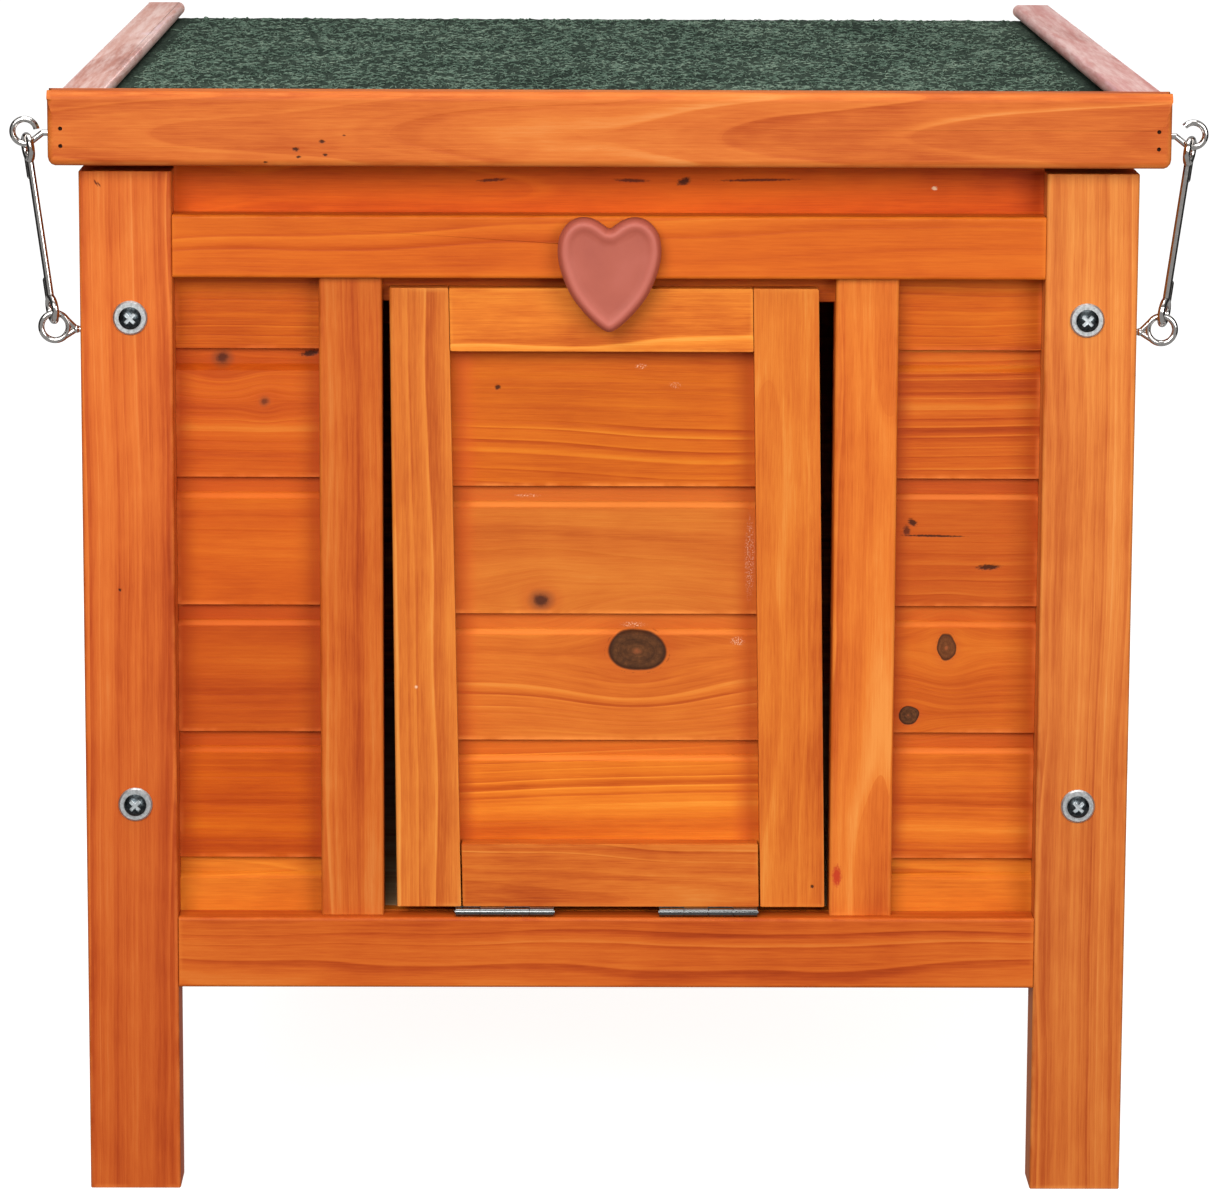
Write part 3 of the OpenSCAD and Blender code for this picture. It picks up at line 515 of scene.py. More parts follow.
# Places and sizes of knots, marks and dust are along and across the grain, in millimetres
WOODS = {
    # The front legs carry painted shade, darker towards the ground
    "leg_front_left": dict(
        grain="zx", mean=(192, 87, 30), pith=(34, -40), spacing=3.0, slope=0.004, shade_falloff=0.18, contrast=1.1,
        marks=[
            (391.6, -193.4, 1.7, 0.4, -32, SCAR), (391.0, -192.2, 1.2, 0.35, -32, SCAR),
            (236, -186, 0.7, 0.7, 0, HOLE),
        ],
    ),
    "leg_front_right": dict(
        grain="zx", mean=(198, 105, 42), pith=(-30, -38), spacing=2.7, slope=0.003,
        shade_falloff=0.15, contrast=1.1,
    ),
    "leg_back_left": dict(grain="zx", mean=(206, 96, 34), pith=(24, 44), spacing=3.2, contrast=1.1),
    "leg_back_right": dict(grain="zx", mean=(208, 98, 34), pith=(-22, 40), spacing=3.0, contrast=1.1),
    "front_upper_rail": dict(
        grain="xz", mean=(197, 91, 20), pith=(22, 46), spacing=2.6, slope=0.006,
        contrast=0.8,
    ),
    "front_lower_rail": dict(
        grain="xz", mean=(183, 81, 21), pith=(-16, 40), spacing=2.4, slope=0.004,
        contrast=1.2,
    ),
    "front_stile_left": dict(
        grain="zx", mean=(181, 83, 25), pith=(-28, 30), spacing=3.0, slope=0.003,
        contrast=1.5, flecks=0.12,
    ),
    "front_stile_right": dict(
        grain="zx", mean=(198, 98, 31), pith=(8, 34), spacing=3.0, slope=0.004, contrast=1.3,
        marks=[(123.8, 88.8, 4.6, 2.0, 0, RED)],
    ),
    "front_boards_top": dict(
        grain="xz", mean=(205, 86, 30), pith=(4, 40), spacing=2.4, slope=0.006, contrast=1.1,
        splits=BOARD_SPLITS[5:], lips=True,
        # Painted shadow in the recess above the door
        doorway=gap_between("front_stile_left", "front_stile_right"),
        rows=[(192, 88, 15), (204, 84, 11)],
        marks=[
            (-44.6, 391.7, 6.0, 0.7, 4, SCAR), (8.6, 391.7, 7.0, 0.8, -2, SCAR),
            (28.3, 391.4, 3.0, 1.6, 20, HOLE), (56, 392, 16, 0.6, 1, SCAR), (123.4, 389, 1.2, 0.8, 0, PUTTY),
        ],
    ),
    "front_boards_left": dict(
        grain="xz", mean=(209, 92, 33), pith=(0, 38), splits=BOARD_SPLITS[1:4], lips=True, contrast=0.9,
        rows=[(185, 78, 6), (175, 72, 11), (188, 82, 15), (186, 79, 15)],
        bands=[(329, 345), (292, 300)],
        knots=[(-147.3, 323.4, 4.4, 4.0, 0.9, "soft"), (-131.2, 306.7, 2.3, 2.3, 0.7, "soft")],
        pool_and_shade=gap_between("leg_front_left", "front_stile_left"),
        marks=[(-113.6, 325.1, 4.2, 1.3, 8, HOLE), (-112.7, 109.5, 3.4, 1.0, 10, SCAR)],
    ),
    "front_boards_right": dict(
        grain="xz", mean=(210, 99, 37), pith=(6, 38), splits=BOARD_SPLITS[1:4], lips=True, contrast=1.0,
        rows=[(200, 97, 23), (187, 86, 19), (176, 76, 17), (185, 83, 18)],
        bands=[(280, 330), (232, 245)],
        knots=[(130.5, 211.9, 3.7, 5.2, 0.9), (116.2, 185.2, 3.9, 3.6, 1.0)],
        pool_and_shade=gap_between("front_stile_right", "leg_front_right"),
        marks=[
            (162.9, 346.7, 13, 1.7, 58, SCAR), (125, 255.4, 13, 0.5, -1, HOLE),
            (146.2, 243.3, 5.2, 1.2, 2, HOLE), (116.8, 260.6, 2.2, 1.4, -30, HOLE),
            (114.6, 257.4, 1.6, 2.4, 10, SCAR),
        ],
    ),
    "front_board_bottom": dict(grain="xz", mean=(205, 107, 26), pith=(4, 36)),
    "back_upper_rail": dict(grain="xz", mean=(208, 98, 26), pith=(-12, 42), spacing=3.0),
    "back_lower_rail": dict(grain="xz", mean=(200, 90, 20), pith=(14, 42), spacing=2.8),
    "back_boards": dict(
        grain="xz", mean=(204, 90, 14), pith=(0, 46), splits=BOARD_SPLITS, lips=True,
        knots=[(-62, 300, 5.5, 4.6, 0.9), (88, 205, 7.5, 6.0, 1.0), (24, 152, 3.2, 3.0, 0.9)],
    ),
    "side_boards_left": dict(
        grain="yz", mean=(204, 91, 16), pith=(4, 46), splits=BOARD_SPLITS, lips=True,
        knots=[(-84, 252, 6.0, 5.0, 0.95), (120, 341, 4.0, 3.4, 0.9), (62, 150, 3.0, 2.8, 0.9)],
    ),
    "side_boards_right": dict(
        grain="yz", mean=(204, 91, 16), pith=(-6, 46), splits=BOARD_SPLITS, lips=True,
        knots=[(40, 202, 6.6, 5.4, 0.95), (-130, 300, 3.4, 3.0, 0.9), (150, 120, 4.4, 3.6, 0.9)],
    ),
    "side_battens_left": dict(grain="zx", mean=(204, 98, 30), pith=(18, 30)),
    "side_battens_right": dict(grain="zx", mean=(204, 98, 30), pith=(-18, 30)),
    "side_rails_left": dict(grain="yz", mean=(204, 98, 30), pith=(12, 30)),
    "side_rails_right": dict(grain="yz", mean=(204, 98, 30), pith=(-12, 30)),
    "door_stile_left": dict(
        grain="zx", mean=(197, 105, 37), pith=(26, 44), spacing=3.4, slope=0.004,
        contrast=1.3, flecks=0.06,
    ),
    "door_stile_right": dict(
        grain="zx", mean=(194, 98, 30), pith=(-10, 36), spacing=3.6, slope=0.006, contrast=1.5,
        marks=[(119.6, 79.3, 0.8, 0.8, 0, HOLE)],
    ),
    "door_top_rail": dict(
        grain="xz", mean=(208, 111, 33), pith=(6, 40), spacing=3.2, slope=0.010,
        contrast=1.4,
    ),
    "door_bottom_rail": dict(grain="xz", mean=(188, 91, 27), pith=(-14, 40), spacing=2.2, contrast=1.5),
    "door_boards": dict(
        grain="xz", mean=(222, 112, 42), pith=(10, 40), splits=DOOR_SPLITS, lips=True, contrast=0.9,
        rows=[(194, 97, 23), (205, 103, 23), (196, 99, 30), (188, 95, 29), (194, 93, 17)],
        bands=[(276, 298), (150, 172), (188, 200)],
        knots=[(11.6, 210.3, 10.8, 8.2, 1.0), (-25.5, 230.0, 5.4, 4.6, 1.0, "soft")],
        marks=[(-42.2, 312.6, 1.3, 1.1, 0, HOLE)], flecks=0.05,
        dust=[
            (54.5, 247, 2.2, 18, 0.5), (50.1, 214.3, 3.0, 2.0, 0.9), (10.0, 220.2, 5.5, 1.2, 0.7),
            (12.4, 320.7, 2.6, 1.2, 0.7), (25.5, 313.5, 2.8, 1.6, 0.3), (-30.9, 270.3, 5.5, 0.8, 0.6),
        ],
        pool_and_shade=gap_between("door_stile_left", "door_stile_right"),
    ),
    # The fascia's pale edges are wear and painted highlight
    "roof_fascia": dict(
        grain="xz", mean=(192, 97, 37), pith=(-3, 13), spacing=3.4, slope=-0.045, contrast=1.1, wear_and_highlight=0.8,
        marks=[
            (-117.6, 405.6, 1.5, 0.8, 0, HOLE), (-107.8, 408.5, 1.3, 0.8, 0, HOLE),
            (-116.5, 402.7, 1.0, 0.6, 0, HOLE), (-106.6, 403.5, 1.1, 0.6, 0, HOLE),
            (-128.8, 400.6, 1.0, 0.5, 0, HOLE), (-99.4, 410.8, 0.7, 0.4, 0, SCAR),
        ],
    ),
    "roof_rail_left": dict(grain="yz", mean=(208, 104, 40), pith=(6, 46), spacing=4.0, wear_and_highlight=0.7),
    "roof_rail_right": dict(grain="yz", mean=(208, 104, 40), pith=(-6, 46), spacing=4.0, wear_and_highlight=0.7),
    "roof_rail_back": dict(grain="xz", mean=(206, 102, 38), pith=(6, 46), spacing=4.0, wear_and_highlight=0.7),
    # The battens carry a painted sheen (haze)
    "roof_batten_left": dict(
        grain="yx", mean=(197, 138, 122), pith=(4, -40),
        contrast=1.0, haze=0.52, wear_and_highlight=0.9,
    ),
    "roof_batten_right": dict(
        grain="yx", mean=(192, 125, 117), pith=(-4, -40),
        contrast=0.9, haze=0.5, wear_and_highlight=0.9,
    ),
    "roof_board": dict(grain="xy", mean=(206, 168, 124), pith=(0, -90), spacing=7.0, contrast=0.6, wear_and_highlight=0.2),
    "floor_panel": dict(
        grain="xy", mean=(204, 164, 120), pith=(30, -90), spacing=7.0,
        contrast=0.6, wear_and_highlight=0.2,
    ),
}

for seed, (name, look) in enumerate(WOODS.items()):
    low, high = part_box(name)
    nodes[name].data.materials.clear()
    nodes[name].data.materials.append(wood("wood_" + name, low=low, high=high, seed=seed + 3, **look))


# ---------- metal ----------


def metal(name, tone, rough, mottle=0.3, dirt=0.25, relief=0.12):
    """Plated steel: mottled tone, fine scratches and a little dull dirt."""
    g = Graph(name)
    x, y, z = g.millimetres()
    spangle = g.noise(g.vector(g.mul(x, 0.9), g.mul(y, 0.9), g.mul(z, 0.9)), 3.0, 0.6)
    scratch = g.noise(g.vector(g.mul(x, 6.0), g.mul(y, 0.8), g.mul(z, 1.2)), 3.0, 0.7)
    base = linear(tone)
    darker = tuple(c * (1 - mottle) for c in base[:3]) + (1.0,)
    colour = g.mix(g.step(spangle, 0.35, 0.65), darker, base)
    grime = g.noise(g.vector(g.mul(x, 0.25), g.mul(y, 0.25), g.mul(z, 0.25)), 3.0, 0.6)
    dull = g.step(grime, 0.5, 0.75, 0.0, dirt)
    colour = g.mix(dull, colour, linear((96, 84, 74)))
    roughness = g.add(rough, g.mul(scratch, rough * 0.9), g.mul(dull, 0.4))
    g.bump(g.add(scratch, g.mul(spangle, 0.6)), relief, 0.00008)
    return g.surface(Base_Color=colour, Metallic=1.0, Roughness=roughness)


WIRE = metal("zinc_wire", (222, 218, 214), 0.07, 0.12, 0.1, 0.02)
ZINC = metal("zinc_bright", (206, 208, 208), 0.3, 0.3, 0.25, 0.06)
HEAD = metal("zinc_screw_heads", (118, 122, 124), 0.26, 0.35, 0.4)
LEAF = metal("zinc_hinges", (214, 212, 208), 0.12, 0.15, 0.2, 0.04)
# A darker copy of the hinge zinc for the door hinges: painted shade standing in for the dark surroundings
# their barrels reflect
SHADED_LEAF = metal("zinc_door_hinges_shaded", (118, 120, 120), 0.12, 0.2, 0.1, 0.02)
NAIL = metal("nail_heads", (70, 48, 38), 0.5, 0.4, 0.6)
LEG_WASHER_R = 6.5


def driven_heads(name):
    """Dark passivated screw heads; the arms of the cross are paler."""
    g = Graph(name)
    x, y, z = g.millimetres()
    low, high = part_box("leg_washers")
    screw_x = high.x / MM - LEG_WASHER_R
    screw_low, screw_high = low.z / MM + LEG_WASHER_R, high.z / MM - LEG_WASHER_R
    middle, reach = (screw_low + screw_high) / 2, (screw_high - screw_low) / 2
    dx = g.math("SUBTRACT", g.math("ABSOLUTE", x), screw_x)
    dz = g.math("SUBTRACT", g.math("ABSOLUTE", g.math("SUBTRACT", z, middle)), reach)
    a = g.math("ABSOLUTE", g.mul(g.math("ADD", dx, dz), math.sqrt(0.5)))
    b = g.math("ABSOLUTE", g.mul(g.math("SUBTRACT", dx, dz), math.sqrt(0.5)))
    narrow, wide = g.math("MINIMUM", a, b), g.math("MAXIMUM", a, b)
    ragged = g.noise(g.vector(g.mul(x, 1.3), g.mul(y, 1.3), g.mul(z, 1.3)), 3.0, 0.6)
    arm = g.mul(
        g.step(g.add(narrow, g.mul(ragged, 0.3)), 0.6, 0.95, 1.0, 0.0),
        g.step(g.add(wide, g.mul(ragged, 0.6)), 2.4, 3.0, 1.0, 0.0),
    )
    scratch = g.noise(g.vector(g.mul(x, 5.0), g.mul(y, 1.0), g.mul(z, 5.0)), 3.0, 0.7)
    dark = g.mix(g.step(ragged, 0.35, 0.65), linear((44, 50, 54)), linear((78, 84, 86)))
    colour = g.mix(arm, dark, linear((226, 232, 234)))
    g.bump(g.add(scratch, ragged), 0.1, 0.00008)
    rough = g.add(0.22, g.mul(scratch, 0.14), g.mul(arm, 0.08))
    return g.surface(Base_Color=colour, Metallic=1.0, Roughness=rough)


METALS = {
    "leg_screws": driven_heads("zinc_leg_screws"), "leg_washers": ZINC,
    "latch_screw": HEAD, "fascia_nails": NAIL,
    "eye_screw_left": WIRE, "eye_screw_right": WIRE, "hook_screw_left": WIRE, "hook_screw_right": WIRE,
    "link_left": WIRE, "link_right": WIRE,
}
for name, node in nodes.items():
    if "hinge" in name:
        # Door hinges take the darker copy, which is painted shade
        METALS[name] = HEAD if "screws" in name else SHADED_LEAF if name.startswith("door") else LEAF
for name, material in METALS.items():
    nodes[name].data.materials.clear()
    nodes[name].data.materials.append(material)


# ---------- softened edges ----------


JOIN = 0.00001


def soften(name, width, across=0.3, shortest=3.0):
    """Rounds the long sharp edges of a wooden piece and its sawn ends less, but no rims of screw holes."""
    mesh = nodes[name].data
    along = TREES[WOODS[name]["grain"]][0]

    def ends_of(edge):
        return [mesh.vertices[i].co for i in edge.vertices]

    def place_of(edge):
        return frozenset(tuple(round(c / JOIN) for c in end) for end in ends_of(edge))

    # The import splits the mesh at creases, so the faces beside an edge are found by its place
    beside = {}
    for polygon in mesh.polygons:
        for loop in polygon.loop_indices:
            edge = mesh.edges[mesh.loops[loop].edge_index]
            beside.setdefault(place_of(edge), []).append(polygon.normal.copy())
    weights = mesh.attributes.new("bevel_weight_edge", "FLOAT", "EDGE")
    for edge in mesh.edges:
        normals = beside[place_of(edge)]
        run = ends_of(edge)[0] - ends_of(edge)[1]
        if run.length > shortest * MM and any(normals[0].dot(other) < 0.5 for other in normals):
            weights.data[edge.index].value = 1.0 if abs(run[along]) > 0.9 * run.length else across
    weld = nodes[name].modifiers.new("weld", "WELD")
    weld.merge_threshold = JOIN
    bevel = nodes[name].modifiers.new("soft edges", "BEVEL")
    bevel.width = width * MM
    bevel.segments = 3
    bevel.limit_method = "WEIGHT"
    bevel.use_clamp_overlap = False
    bevel.harden_normals = True


for name in WOODS:
    if "boards" in name or name == "front_board_bottom":
        soften(name, 0.5)
    elif name in ("roof_board", "floor_panel"):
        soften(name, 0.3)
    elif name == "roof_fascia":
        soften(name, 2.8, across=1.0)
    else:
        soften(name, 1.4)


# ---------- heart latch ----------

HEART_HALF = [
    (0, -5.2), (3, -2.6), (6.5, -0.6), (11, 0), (15.5, -1.9), (18.9, -6.3), (20, -12.2), (19.4, -18),
    (17.6, -24), (14.9, -30), (11, -35.3), (6.3, -40.3), (2.2, -43.6), (0, -44.3),
]
HEART_TALL, HEART_HALF_WIDE = 44.3, 20.0
# Inset from the outline and height above the back face
HEART_RIM = [
    (0.7, 0.0), (0.15, 0.25), (0.0, 0.8), (0.0, 3.6), (0.12, 4.9), (0.5, 6.1), (1.1, 7.1), (1.8, 7.75),
    (2.5, 8.0), (3.2, 7.92), (3.9, 7.65), (4.6, 7.32), (5.4, 7.08), (6.6, 7.0),
]


def smooth_loop(points, rounds):
    """Corner cutting of a closed loop."""
    for _ in range(rounds):
        cut = []
        for a, b in zip(points, points[1:] + points[:1]):
            cut.append(a.lerp(b, 0.25))
            cut.append(a.lerp(b, 0.75))
        points = cut
    return points


def heart_mesh():
    low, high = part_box("heart_latch")
    top, scale = high.z / MM, (high.z - low.z) / MM / HEART_TALL
    pivot = next(j for j in frame["joints"] if j["name"] == "heart_pivot")["pos_m"]
    half = [Vector((x, y)) for x, y in HEART_HALF]
    loop = smooth_loop(half + [Vector((-p.x, p.y)) for p in reversed(half[1:-1])], 3)
    # The corner cutting shrinks the outline a little, so it is brought back to its size
    lift = -max(p.y for p in loop)
    stretch = HEART_TALL / (max(p.y for p in loop) - min(p.y for p in loop))
    wide = HEART_HALF_WIDE / max(p.x for p in loop)
    loop = [Vector((p.x * wide, (p.y + lift) * stretch)) * scale for p in loop]
    loop = [Vector((p.x, p.y + top - pivot[2] / MM)) for p in loop]

    starts = np.array([tuple(p) for p in loop])
    runs = np.roll(starts, -1, axis=0) - starts

    def reach(angle, inset):
        """How far the inset outline is from the pivot in a direction."""
        way = np.array((math.cos(angle), math.sin(angle)))
        det = way[0] * runs[:, 1] - way[1] * runs[:, 0]
        det = np.where(np.abs(det) < 1e-9, 1e-9, det)
        t = (starts[:, 0] * runs[:, 1] - starts[:, 1] * runs[:, 0]) / det
        share = (starts[:, 0] * way[1] - starts[:, 1] * way[0]) / det
        edge = t[(t > 0) & (share >= -1e-6) & (share <= 1 + 1e-6)].max()
        inner, outer = 0.0, edge
        for _ in range(18 if inset else 0):
            mid = (inner + outer) / 2
            offset = way * mid - starts
            share = np.clip((offset * runs).sum(1) / (runs * runs).sum(1), 0, 1)
            gap = np.sqrt(((offset - runs * share[:, None]) ** 2).sum(1)).min()
            inner, outer = (mid, outer) if gap >= inset else (inner, mid)
        return inner if inset else edge

    steps = 144
    back = high.y
    bore_r, bore_depth = 2.05, 5.5
    rings = [(None, bore_depth, 0.02), (None, bore_depth, bore_r), (None, 0.0, bore_r)]
    verts, faces = [], []
    for _, depth, r in rings:
        for i in range(steps):
            a = 2 * math.pi * i / steps
            verts.append((r * math.cos(a), depth, r * math.sin(a)))
    for inset, depth in HEART_RIM:
        for i in range(steps):
            a = 2 * math.pi * i / steps
            r = max(reach(a, inset), bore_r + 0.4)
            verts.append((r * math.cos(a), depth, r * math.sin(a)))
    flat = HEART_RIM[-1][1]
    last = len(rings) + len(HEART_RIM) - 1
    for share in (0.7, 0.4, 0.12):
        for i in range(steps):
            x, _, z = verts[last * steps + i]
            verts.append((x * share, flat, z * share))
    total = len(verts) // steps
    for k in range(total - 1):
        for i in range(steps):
            j = (i + 1) % steps
            faces.append((k * steps + i, k * steps + j, (k + 1) * steps + j, (k + 1) * steps + i))
    faces.append(tuple(range((total - 1) * steps, total * steps)))
    faces.append(tuple(reversed(range(steps))))
    verts = [(pivot[0] + x * MM, back - y * MM, pivot[2] + z * MM) for x, y, z in verts]
    mesh = bpy.data.meshes.new("heart_body")
    mesh.from_pydata(verts, [], faces)
    mesh.update()
    for polygon in mesh.polygons:
        polygon.use_smooth = True
    return mesh


def rose(name):
    """Matte moulded plastic with a painted highlight on the crest of the rim, where it is also a little
    smoother.
    """
    g = Graph(name)
    x, y, z = g.millimetres()
    cloud = g.noise(g.vector(g.mul(x, 0.07), g.mul(y, 0.07), g.mul(z, 0.07)), 3.0)
    grit = g.noise(g.vector(g.mul(x, 3.0), g.mul(y, 3.0), g.mul(z, 3.0)), 3.0, 0.7)
    tones = [(0.3, linear((158, 75, 58))), (0.5, linear((163, 79, 61))), (0.72, linear((168, 84, 67)))]
    colour = g.ramp(cloud, tones)
    low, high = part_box("heart_latch")
    rim = g.step(y, low.y / MM + 0.1, low.y / MM + 0.9, 1.0, 0.0)
    # Painted highlight along the crest of the rim
    colour = g.mix(g.mul(rim, 0.4), colour, linear((186, 98, 82)))
    g.bump(g.add(grit, cloud), 0.15, 0.0001)
    rough = g.add(0.54, g.mul(grit, 0.12), g.mul(rim, -0.04))
    return g.surface(Base_Color=colour, Roughness=rough, IOR=1.46)


heart = bpy.data.objects.new("heart_body", heart_mesh())
scene.collection.objects.link(heart)
heart.data.materials.append(rose("rose_heart"))
heart_split = heart.modifiers.new("crisp corners", "EDGE_SPLIT")
heart_split.split_angle = math.radians(50)
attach(heart, "heart")
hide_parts("heart_latch")


# ---------- roofing felt ----------


def felt_height(x, y):
    """Lumpy height of the felt above its lowest face, in millimetres; x and y in millimetres."""
    lump = noise.noise(Vector((x * 0.16, y * 0.16, 1.0)))
    grain = noise.noise(Vector((x * 0.55, y * 0.55, 7.0)))
    sag = noise.noise(Vector((x * 0.012, y * 0.012, 3.0)))
    return 1.62 + 0.2 * lump + 0.45 * grain + 0.1 * sag


def felt_mesh():
    """A lumpy sheet with a thinner rim, its back edge cut a little unevenly, closed by a flat bottom."""
    low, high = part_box("roof_felt")
    x0, x1 = low.x / MM, high.x / MM
    y0, y1 = low.y / MM, high.y / MM
    cell, rim_z, ragged = 1.6, 1.1, 1.2
    nx, ny = int((x1 - x0) / cell), int((y1 - y0) / cell)
    limit = (high.z - low.z) / MM
    verts, faces = [], []
    for j in range(ny + 1):
        for i in range(nx + 1):
            x = x0 + (x1 - x0) * i / nx
            y = y0 + (y1 - y0) * j / ny
            at_rim = i in (0, nx) or j in (0, ny)
            z = rim_z if at_rim else min(felt_height(x, y), limit)
            if j == ny:
                y -= ragged * (0.5 + 0.5 * noise.noise(Vector((x * 0.05, 0.0, 9.0))))
            verts.append((x * MM, y * MM, low.z + z * MM))
    base = len(verts)
    for j in range(ny):
        for i in range(nx):
            a = j * (nx + 1) + i
            faces.append((a, a + 1, a + nx + 2, a + nx + 1))
    edge = list(range(nx + 1))
    edge += [j * (nx + 1) + nx for j in range(1, ny + 1)]
    edge += [ny * (nx + 1) + i for i in range(nx - 1, -1, -1)]
    edge += [j * (nx + 1) for j in range(ny - 1, 0, -1)]
    for k in edge:
        x, y, _ = verts[k]
        verts.append((x, y, low.z))
    count = len(edge)
    for k in range(count):
        following = (k + 1) % count
        faces.append((edge[k], base + k, base + following, edge[following]))
    faces.append(tuple(base + k for k in reversed(range(count))))
    mesh = bpy.data.meshes.new("felt_sheet")
    mesh.from_pydata(verts, [], faces)
    mesh.update()
    for polygon in mesh.polygons:
        polygon.use_smooth = True
    return mesh


def fibre_mesh(count):
    """Short curved strands pressed into the top of the felt, as three-sided tubes."""
    low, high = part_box("roof_felt")
    left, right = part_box("roof_batten_left")[1].x / MM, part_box("roof_batten_right")[0].x / MM
    bottom, top = low.z / MM, high.z / MM
    rng = random.Random(11)
    verts, faces = [], []
    for _ in range(count):
        x, y = rng.uniform(left + 4, right - 4), rng.uniform(low.y / MM + 4, high.y / MM - 5)
        turn = rng.uniform(0, 2 * math.pi)
        curl = rng.uniform(-1.3, 1.3)
        length = rng.uniform(2.5, 6.0)
        r = rng.uniform(0.18, 0.42)
        base = len(verts)
        parts = 5
        for k in range(parts):
            s = k / (parts - 1)
            z = bottom + felt_height(x, y) + r * 0.3 + 0.28 * math.sin(math.pi * s)
            z = min(z, top + 0.9)
            side = Vector((-math.sin(turn), math.cos(turn), 0.0))
            thin = r * (1.0 if 0 < k < parts - 1 else 0.45)
            for a in (90, 210, 330):
                off = side * (thin * math.cos(math.radians(a)))
                lift = thin * math.sin(math.radians(a))
                verts.append(((x + off.x) * MM, (y + off.y) * MM, (z + lift) * MM))
            turn += curl / parts
            x += math.cos(turn) * length / parts
            y += math.sin(turn) * length / parts
        for k in range(parts - 1):
            for a in range(3):
                b = (a + 1) % 3
                faces.append((base + 3 * k + a, base + 3 * k + b, base + 3 * k + 3 + b, base + 3 * k + 3 + a))
        faces.append((base + 2, base + 1, base))
        end = base + 3 * (parts - 1)
        faces.append((end, end + 1, end + 2))
    mesh = bpy.data.meshes.new("felt_fibres")
    mesh.from_pydata(verts, [], faces)
    mesh.update()
    for polygon in mesh.polygons:
        polygon.use_smooth = True
    return mesh


def felt_look(name, dark, mid, pale, scale):
    """Green bituminous felt: flecks, small pits and faded patches."""
    g = Graph(name)
    x, y, z = g.millimetres()
    here = g.vector(g.mul(x, scale), g.mul(y, scale), g.mul(z, scale))
    speck = g.noise(here, 3.0, 0.7, 0.6)
    worm = g.noise(g.vector(g.mul(x, 0.5), g.mul(y, 0.5), g.mul(z, 0.5)), 2.0, 0.5, 1.6)
    fade = g.noise(g.vector(g.mul(x, 0.02), g.mul(y, 0.02), 0.0), 3.0)
    value = g.add(g.mul(speck, 0.6), g.mul(worm, 0.4), g.mul(g.math("SUBTRACT", fade, 0.5), 0.35))
    colour = g.ramp(value, [(0.36, linear(dark)), (0.5, linear(mid)), (0.66, linear(pale))])
    g.bump(g.add(speck, worm), 0.5, 0.0006)
    rough = g.add(0.82, g.mul(speck, 0.16))
    return g.surface(Base_Color=colour, Roughness=rough, IOR=1.4, Specular_IOR_Level=0.06)


felt = bpy.data.objects.new("felt_sheet", felt_mesh())
fibres = bpy.data.objects.new("felt_fibres", fibre_mesh(12000))
felt.data.materials.append(felt_look("felt_green", (24, 31, 27), (46, 58, 50), (76, 90, 78), 1.3))
fibres.data.materials.append(felt_look("felt_strands", (58, 74, 63), (86, 105, 92), (120, 136, 120), 0.5))
for piece in (felt, fibres):
    scene.collection.objects.link(piece)
    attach(piece, "roof")
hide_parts("roof_felt")


# ---------- stage, light and camera ----------


WHITE = (1.0, 1.0, 1.0, 1.0)


def glowing_floor(name, tone):
    """Matte pale floor that glows a little, so that it runs out into white."""
    g = Graph(name)
    x, y, _ = g.millimetres()
    cloud = g.noise(g.vector(g.mul(x, 0.002), g.mul(y, 0.002), 0.0), 2.0)
    colour = g.mix(g.mul(cloud, 0.04), linear(tone), linear([c * 0.97 for c in tone]))
    return g.surface(Base_Color=colour, Roughness=0.85, Emission_Color=WHITE, Emission_Strength=0.9)


def sheets(name, corners, material):
    """An object of four-cornered sheets, given by their corners one after another."""
    mesh = bpy.data.meshes.new(name)
    mesh.from_pydata(corners, [], [tuple(range(k, k + 4)) for k in range(0, len(corners), 4)])
    item = bpy.data.objects.new(name, mesh)
    item.data.materials.append(material)
    scene.collection.objects.link(item)
    return item


REACH = 60.0
floor_corners = [(-REACH, -REACH, 0), (REACH, -REACH, 0), (REACH, REACH, 0), (-REACH, REACH, 0)]
floor = sheets("floor", floor_corners, glowing_floor("floor_white", (176, 176, 176)))
# The bright floor is seen without lighting the object from below
floor.visible_diffuse = False
floor.visible_glossy = False


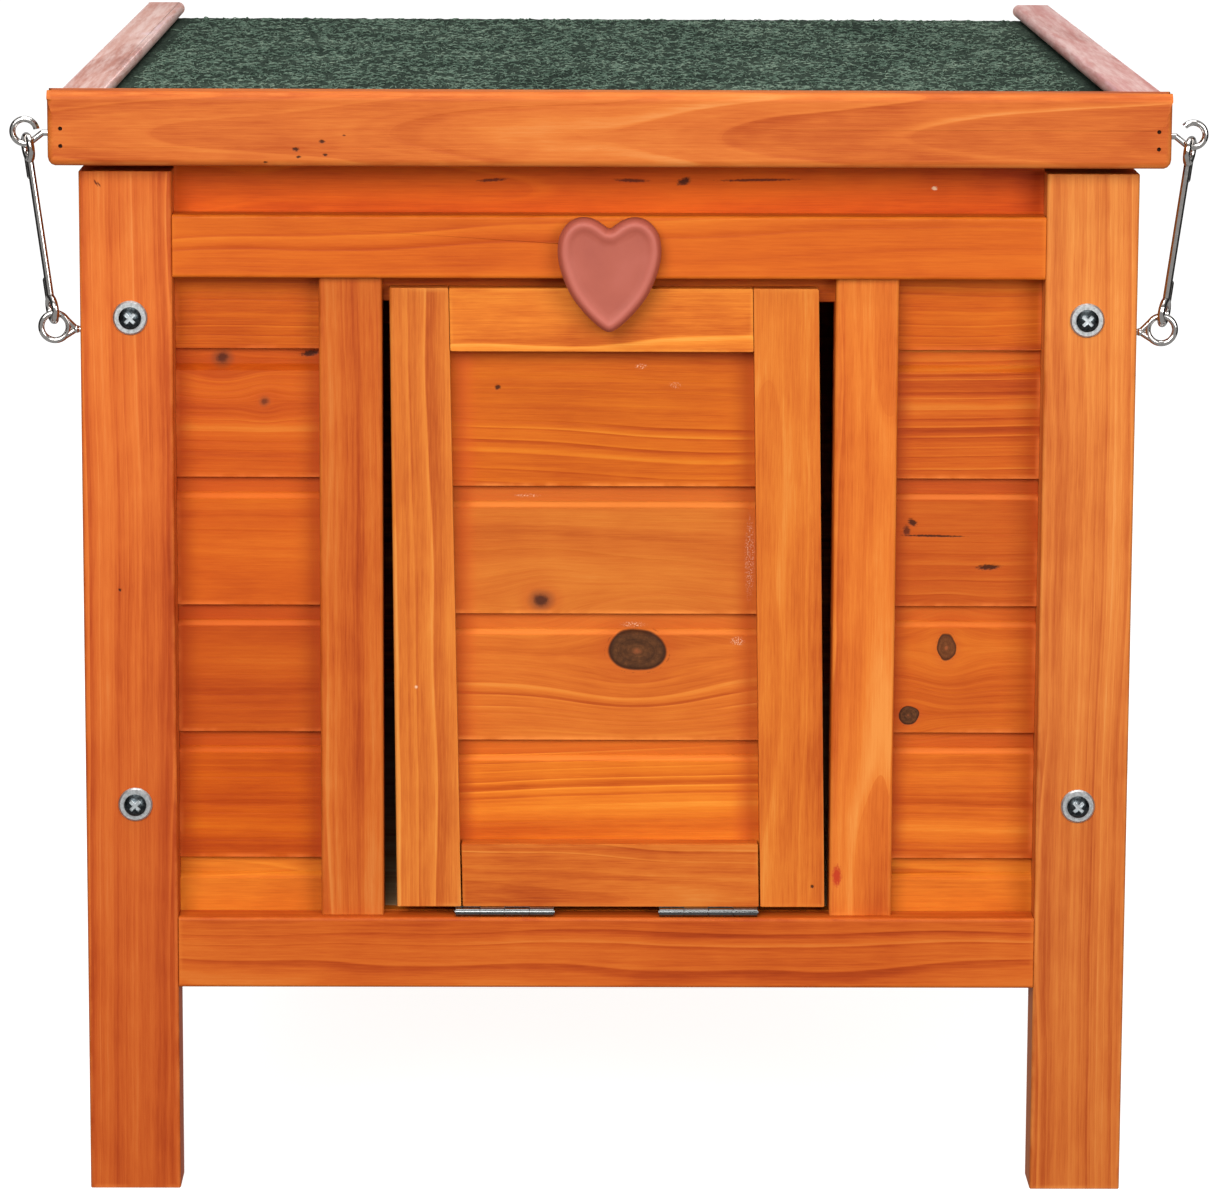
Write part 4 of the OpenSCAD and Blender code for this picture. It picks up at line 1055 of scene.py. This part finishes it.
# Black flags at both sides, which the camera doesn't see, give the front its dark edges
FLAG_X, FLAG_Y, FLAG_LOW, FLAG_HIGH = 0.95, 0.8, 0.02, 1.0
flag_side = [(-FLAG_Y, FLAG_LOW), (FLAG_Y, FLAG_LOW), (FLAG_Y, FLAG_HIGH), (-FLAG_Y, FLAG_HIGH)]
flag_corners = [(x, y, z) for x in (-FLAG_X, FLAG_X) for y, z in flag_side]
flag_black = Graph("flag_black").surface(Base_Color=linear((40, 40, 40)), Roughness=0.9)
flags = sheets("flags", flag_corners, flag_black)
flags.visible_camera = False


def softbox(name, place, aim, size, power):
    """A rectangular studio light; size in metres, power in watts."""
    light = bpy.data.lights.new(name, "AREA")
    light.shape = "RECTANGLE"
    light.size, light.size_y = size
    light.energy = power
    lamp = bpy.data.objects.new(name, light)
    lamp.location = place
    lamp.rotation_euler = (Vector(aim) - Vector(place)).to_track_quat("-Z", "Y").to_euler()
    scene.collection.objects.link(lamp)


softbox("key", (-0.8, -2.6, 1.45), (0, -0.2, 0.22), (1.8, 1.3), 62.0)
softbox("fill", (1.5, -2.4, 0.9), (0, -0.2, 0.2), (1.4, 1.3), 34.0)
softbox("top", (0.0, -0.5, 2.5), (0, 0.0, 0.3), (1.8, 1.4), 34.0)

world = bpy.data.worlds.new("studio")
world.use_nodes = True
background = world.node_tree.nodes["Background"]
background.inputs["Color"].default_value = WHITE
background.inputs["Strength"].default_value = 0.34
scene.world = world
scene.view_settings.view_transform = "Standard"

# The viewer stands level with the door's middle, a little left of it, and looks slightly down
EYE = (-0.022146, -2.33668, 0.60627)
LENS, SENSOR = 165.34, 36.0
yaw, pitch, roll = 0.01024, 0.17684, 0.00416
ahead_flat = Vector((math.sin(yaw), math.cos(yaw), 0))
right_flat = Vector((math.cos(yaw), -math.sin(yaw), 0))
ahead = ahead_flat * math.cos(pitch) - Vector((0, 0, 1)) * math.sin(pitch)
up_flat = Vector((0, 0, 1)) * math.cos(pitch) + ahead_flat * math.sin(pitch)
right = right_flat * math.cos(roll) + up_flat * math.sin(roll)
up = up_flat * math.cos(roll) - right_flat * math.sin(roll)
camera_data = bpy.data.cameras.new("camera")
camera_data.lens = LENS
camera_data.sensor_width = SENSOR
camera = bpy.data.objects.new("camera", camera_data)
turn = Matrix((right, up, -ahead)).transposed().to_4x4()
camera.matrix_world = Matrix.Translation(EYE) @ turn
scene.collection.objects.link(camera)
scene.camera = camera
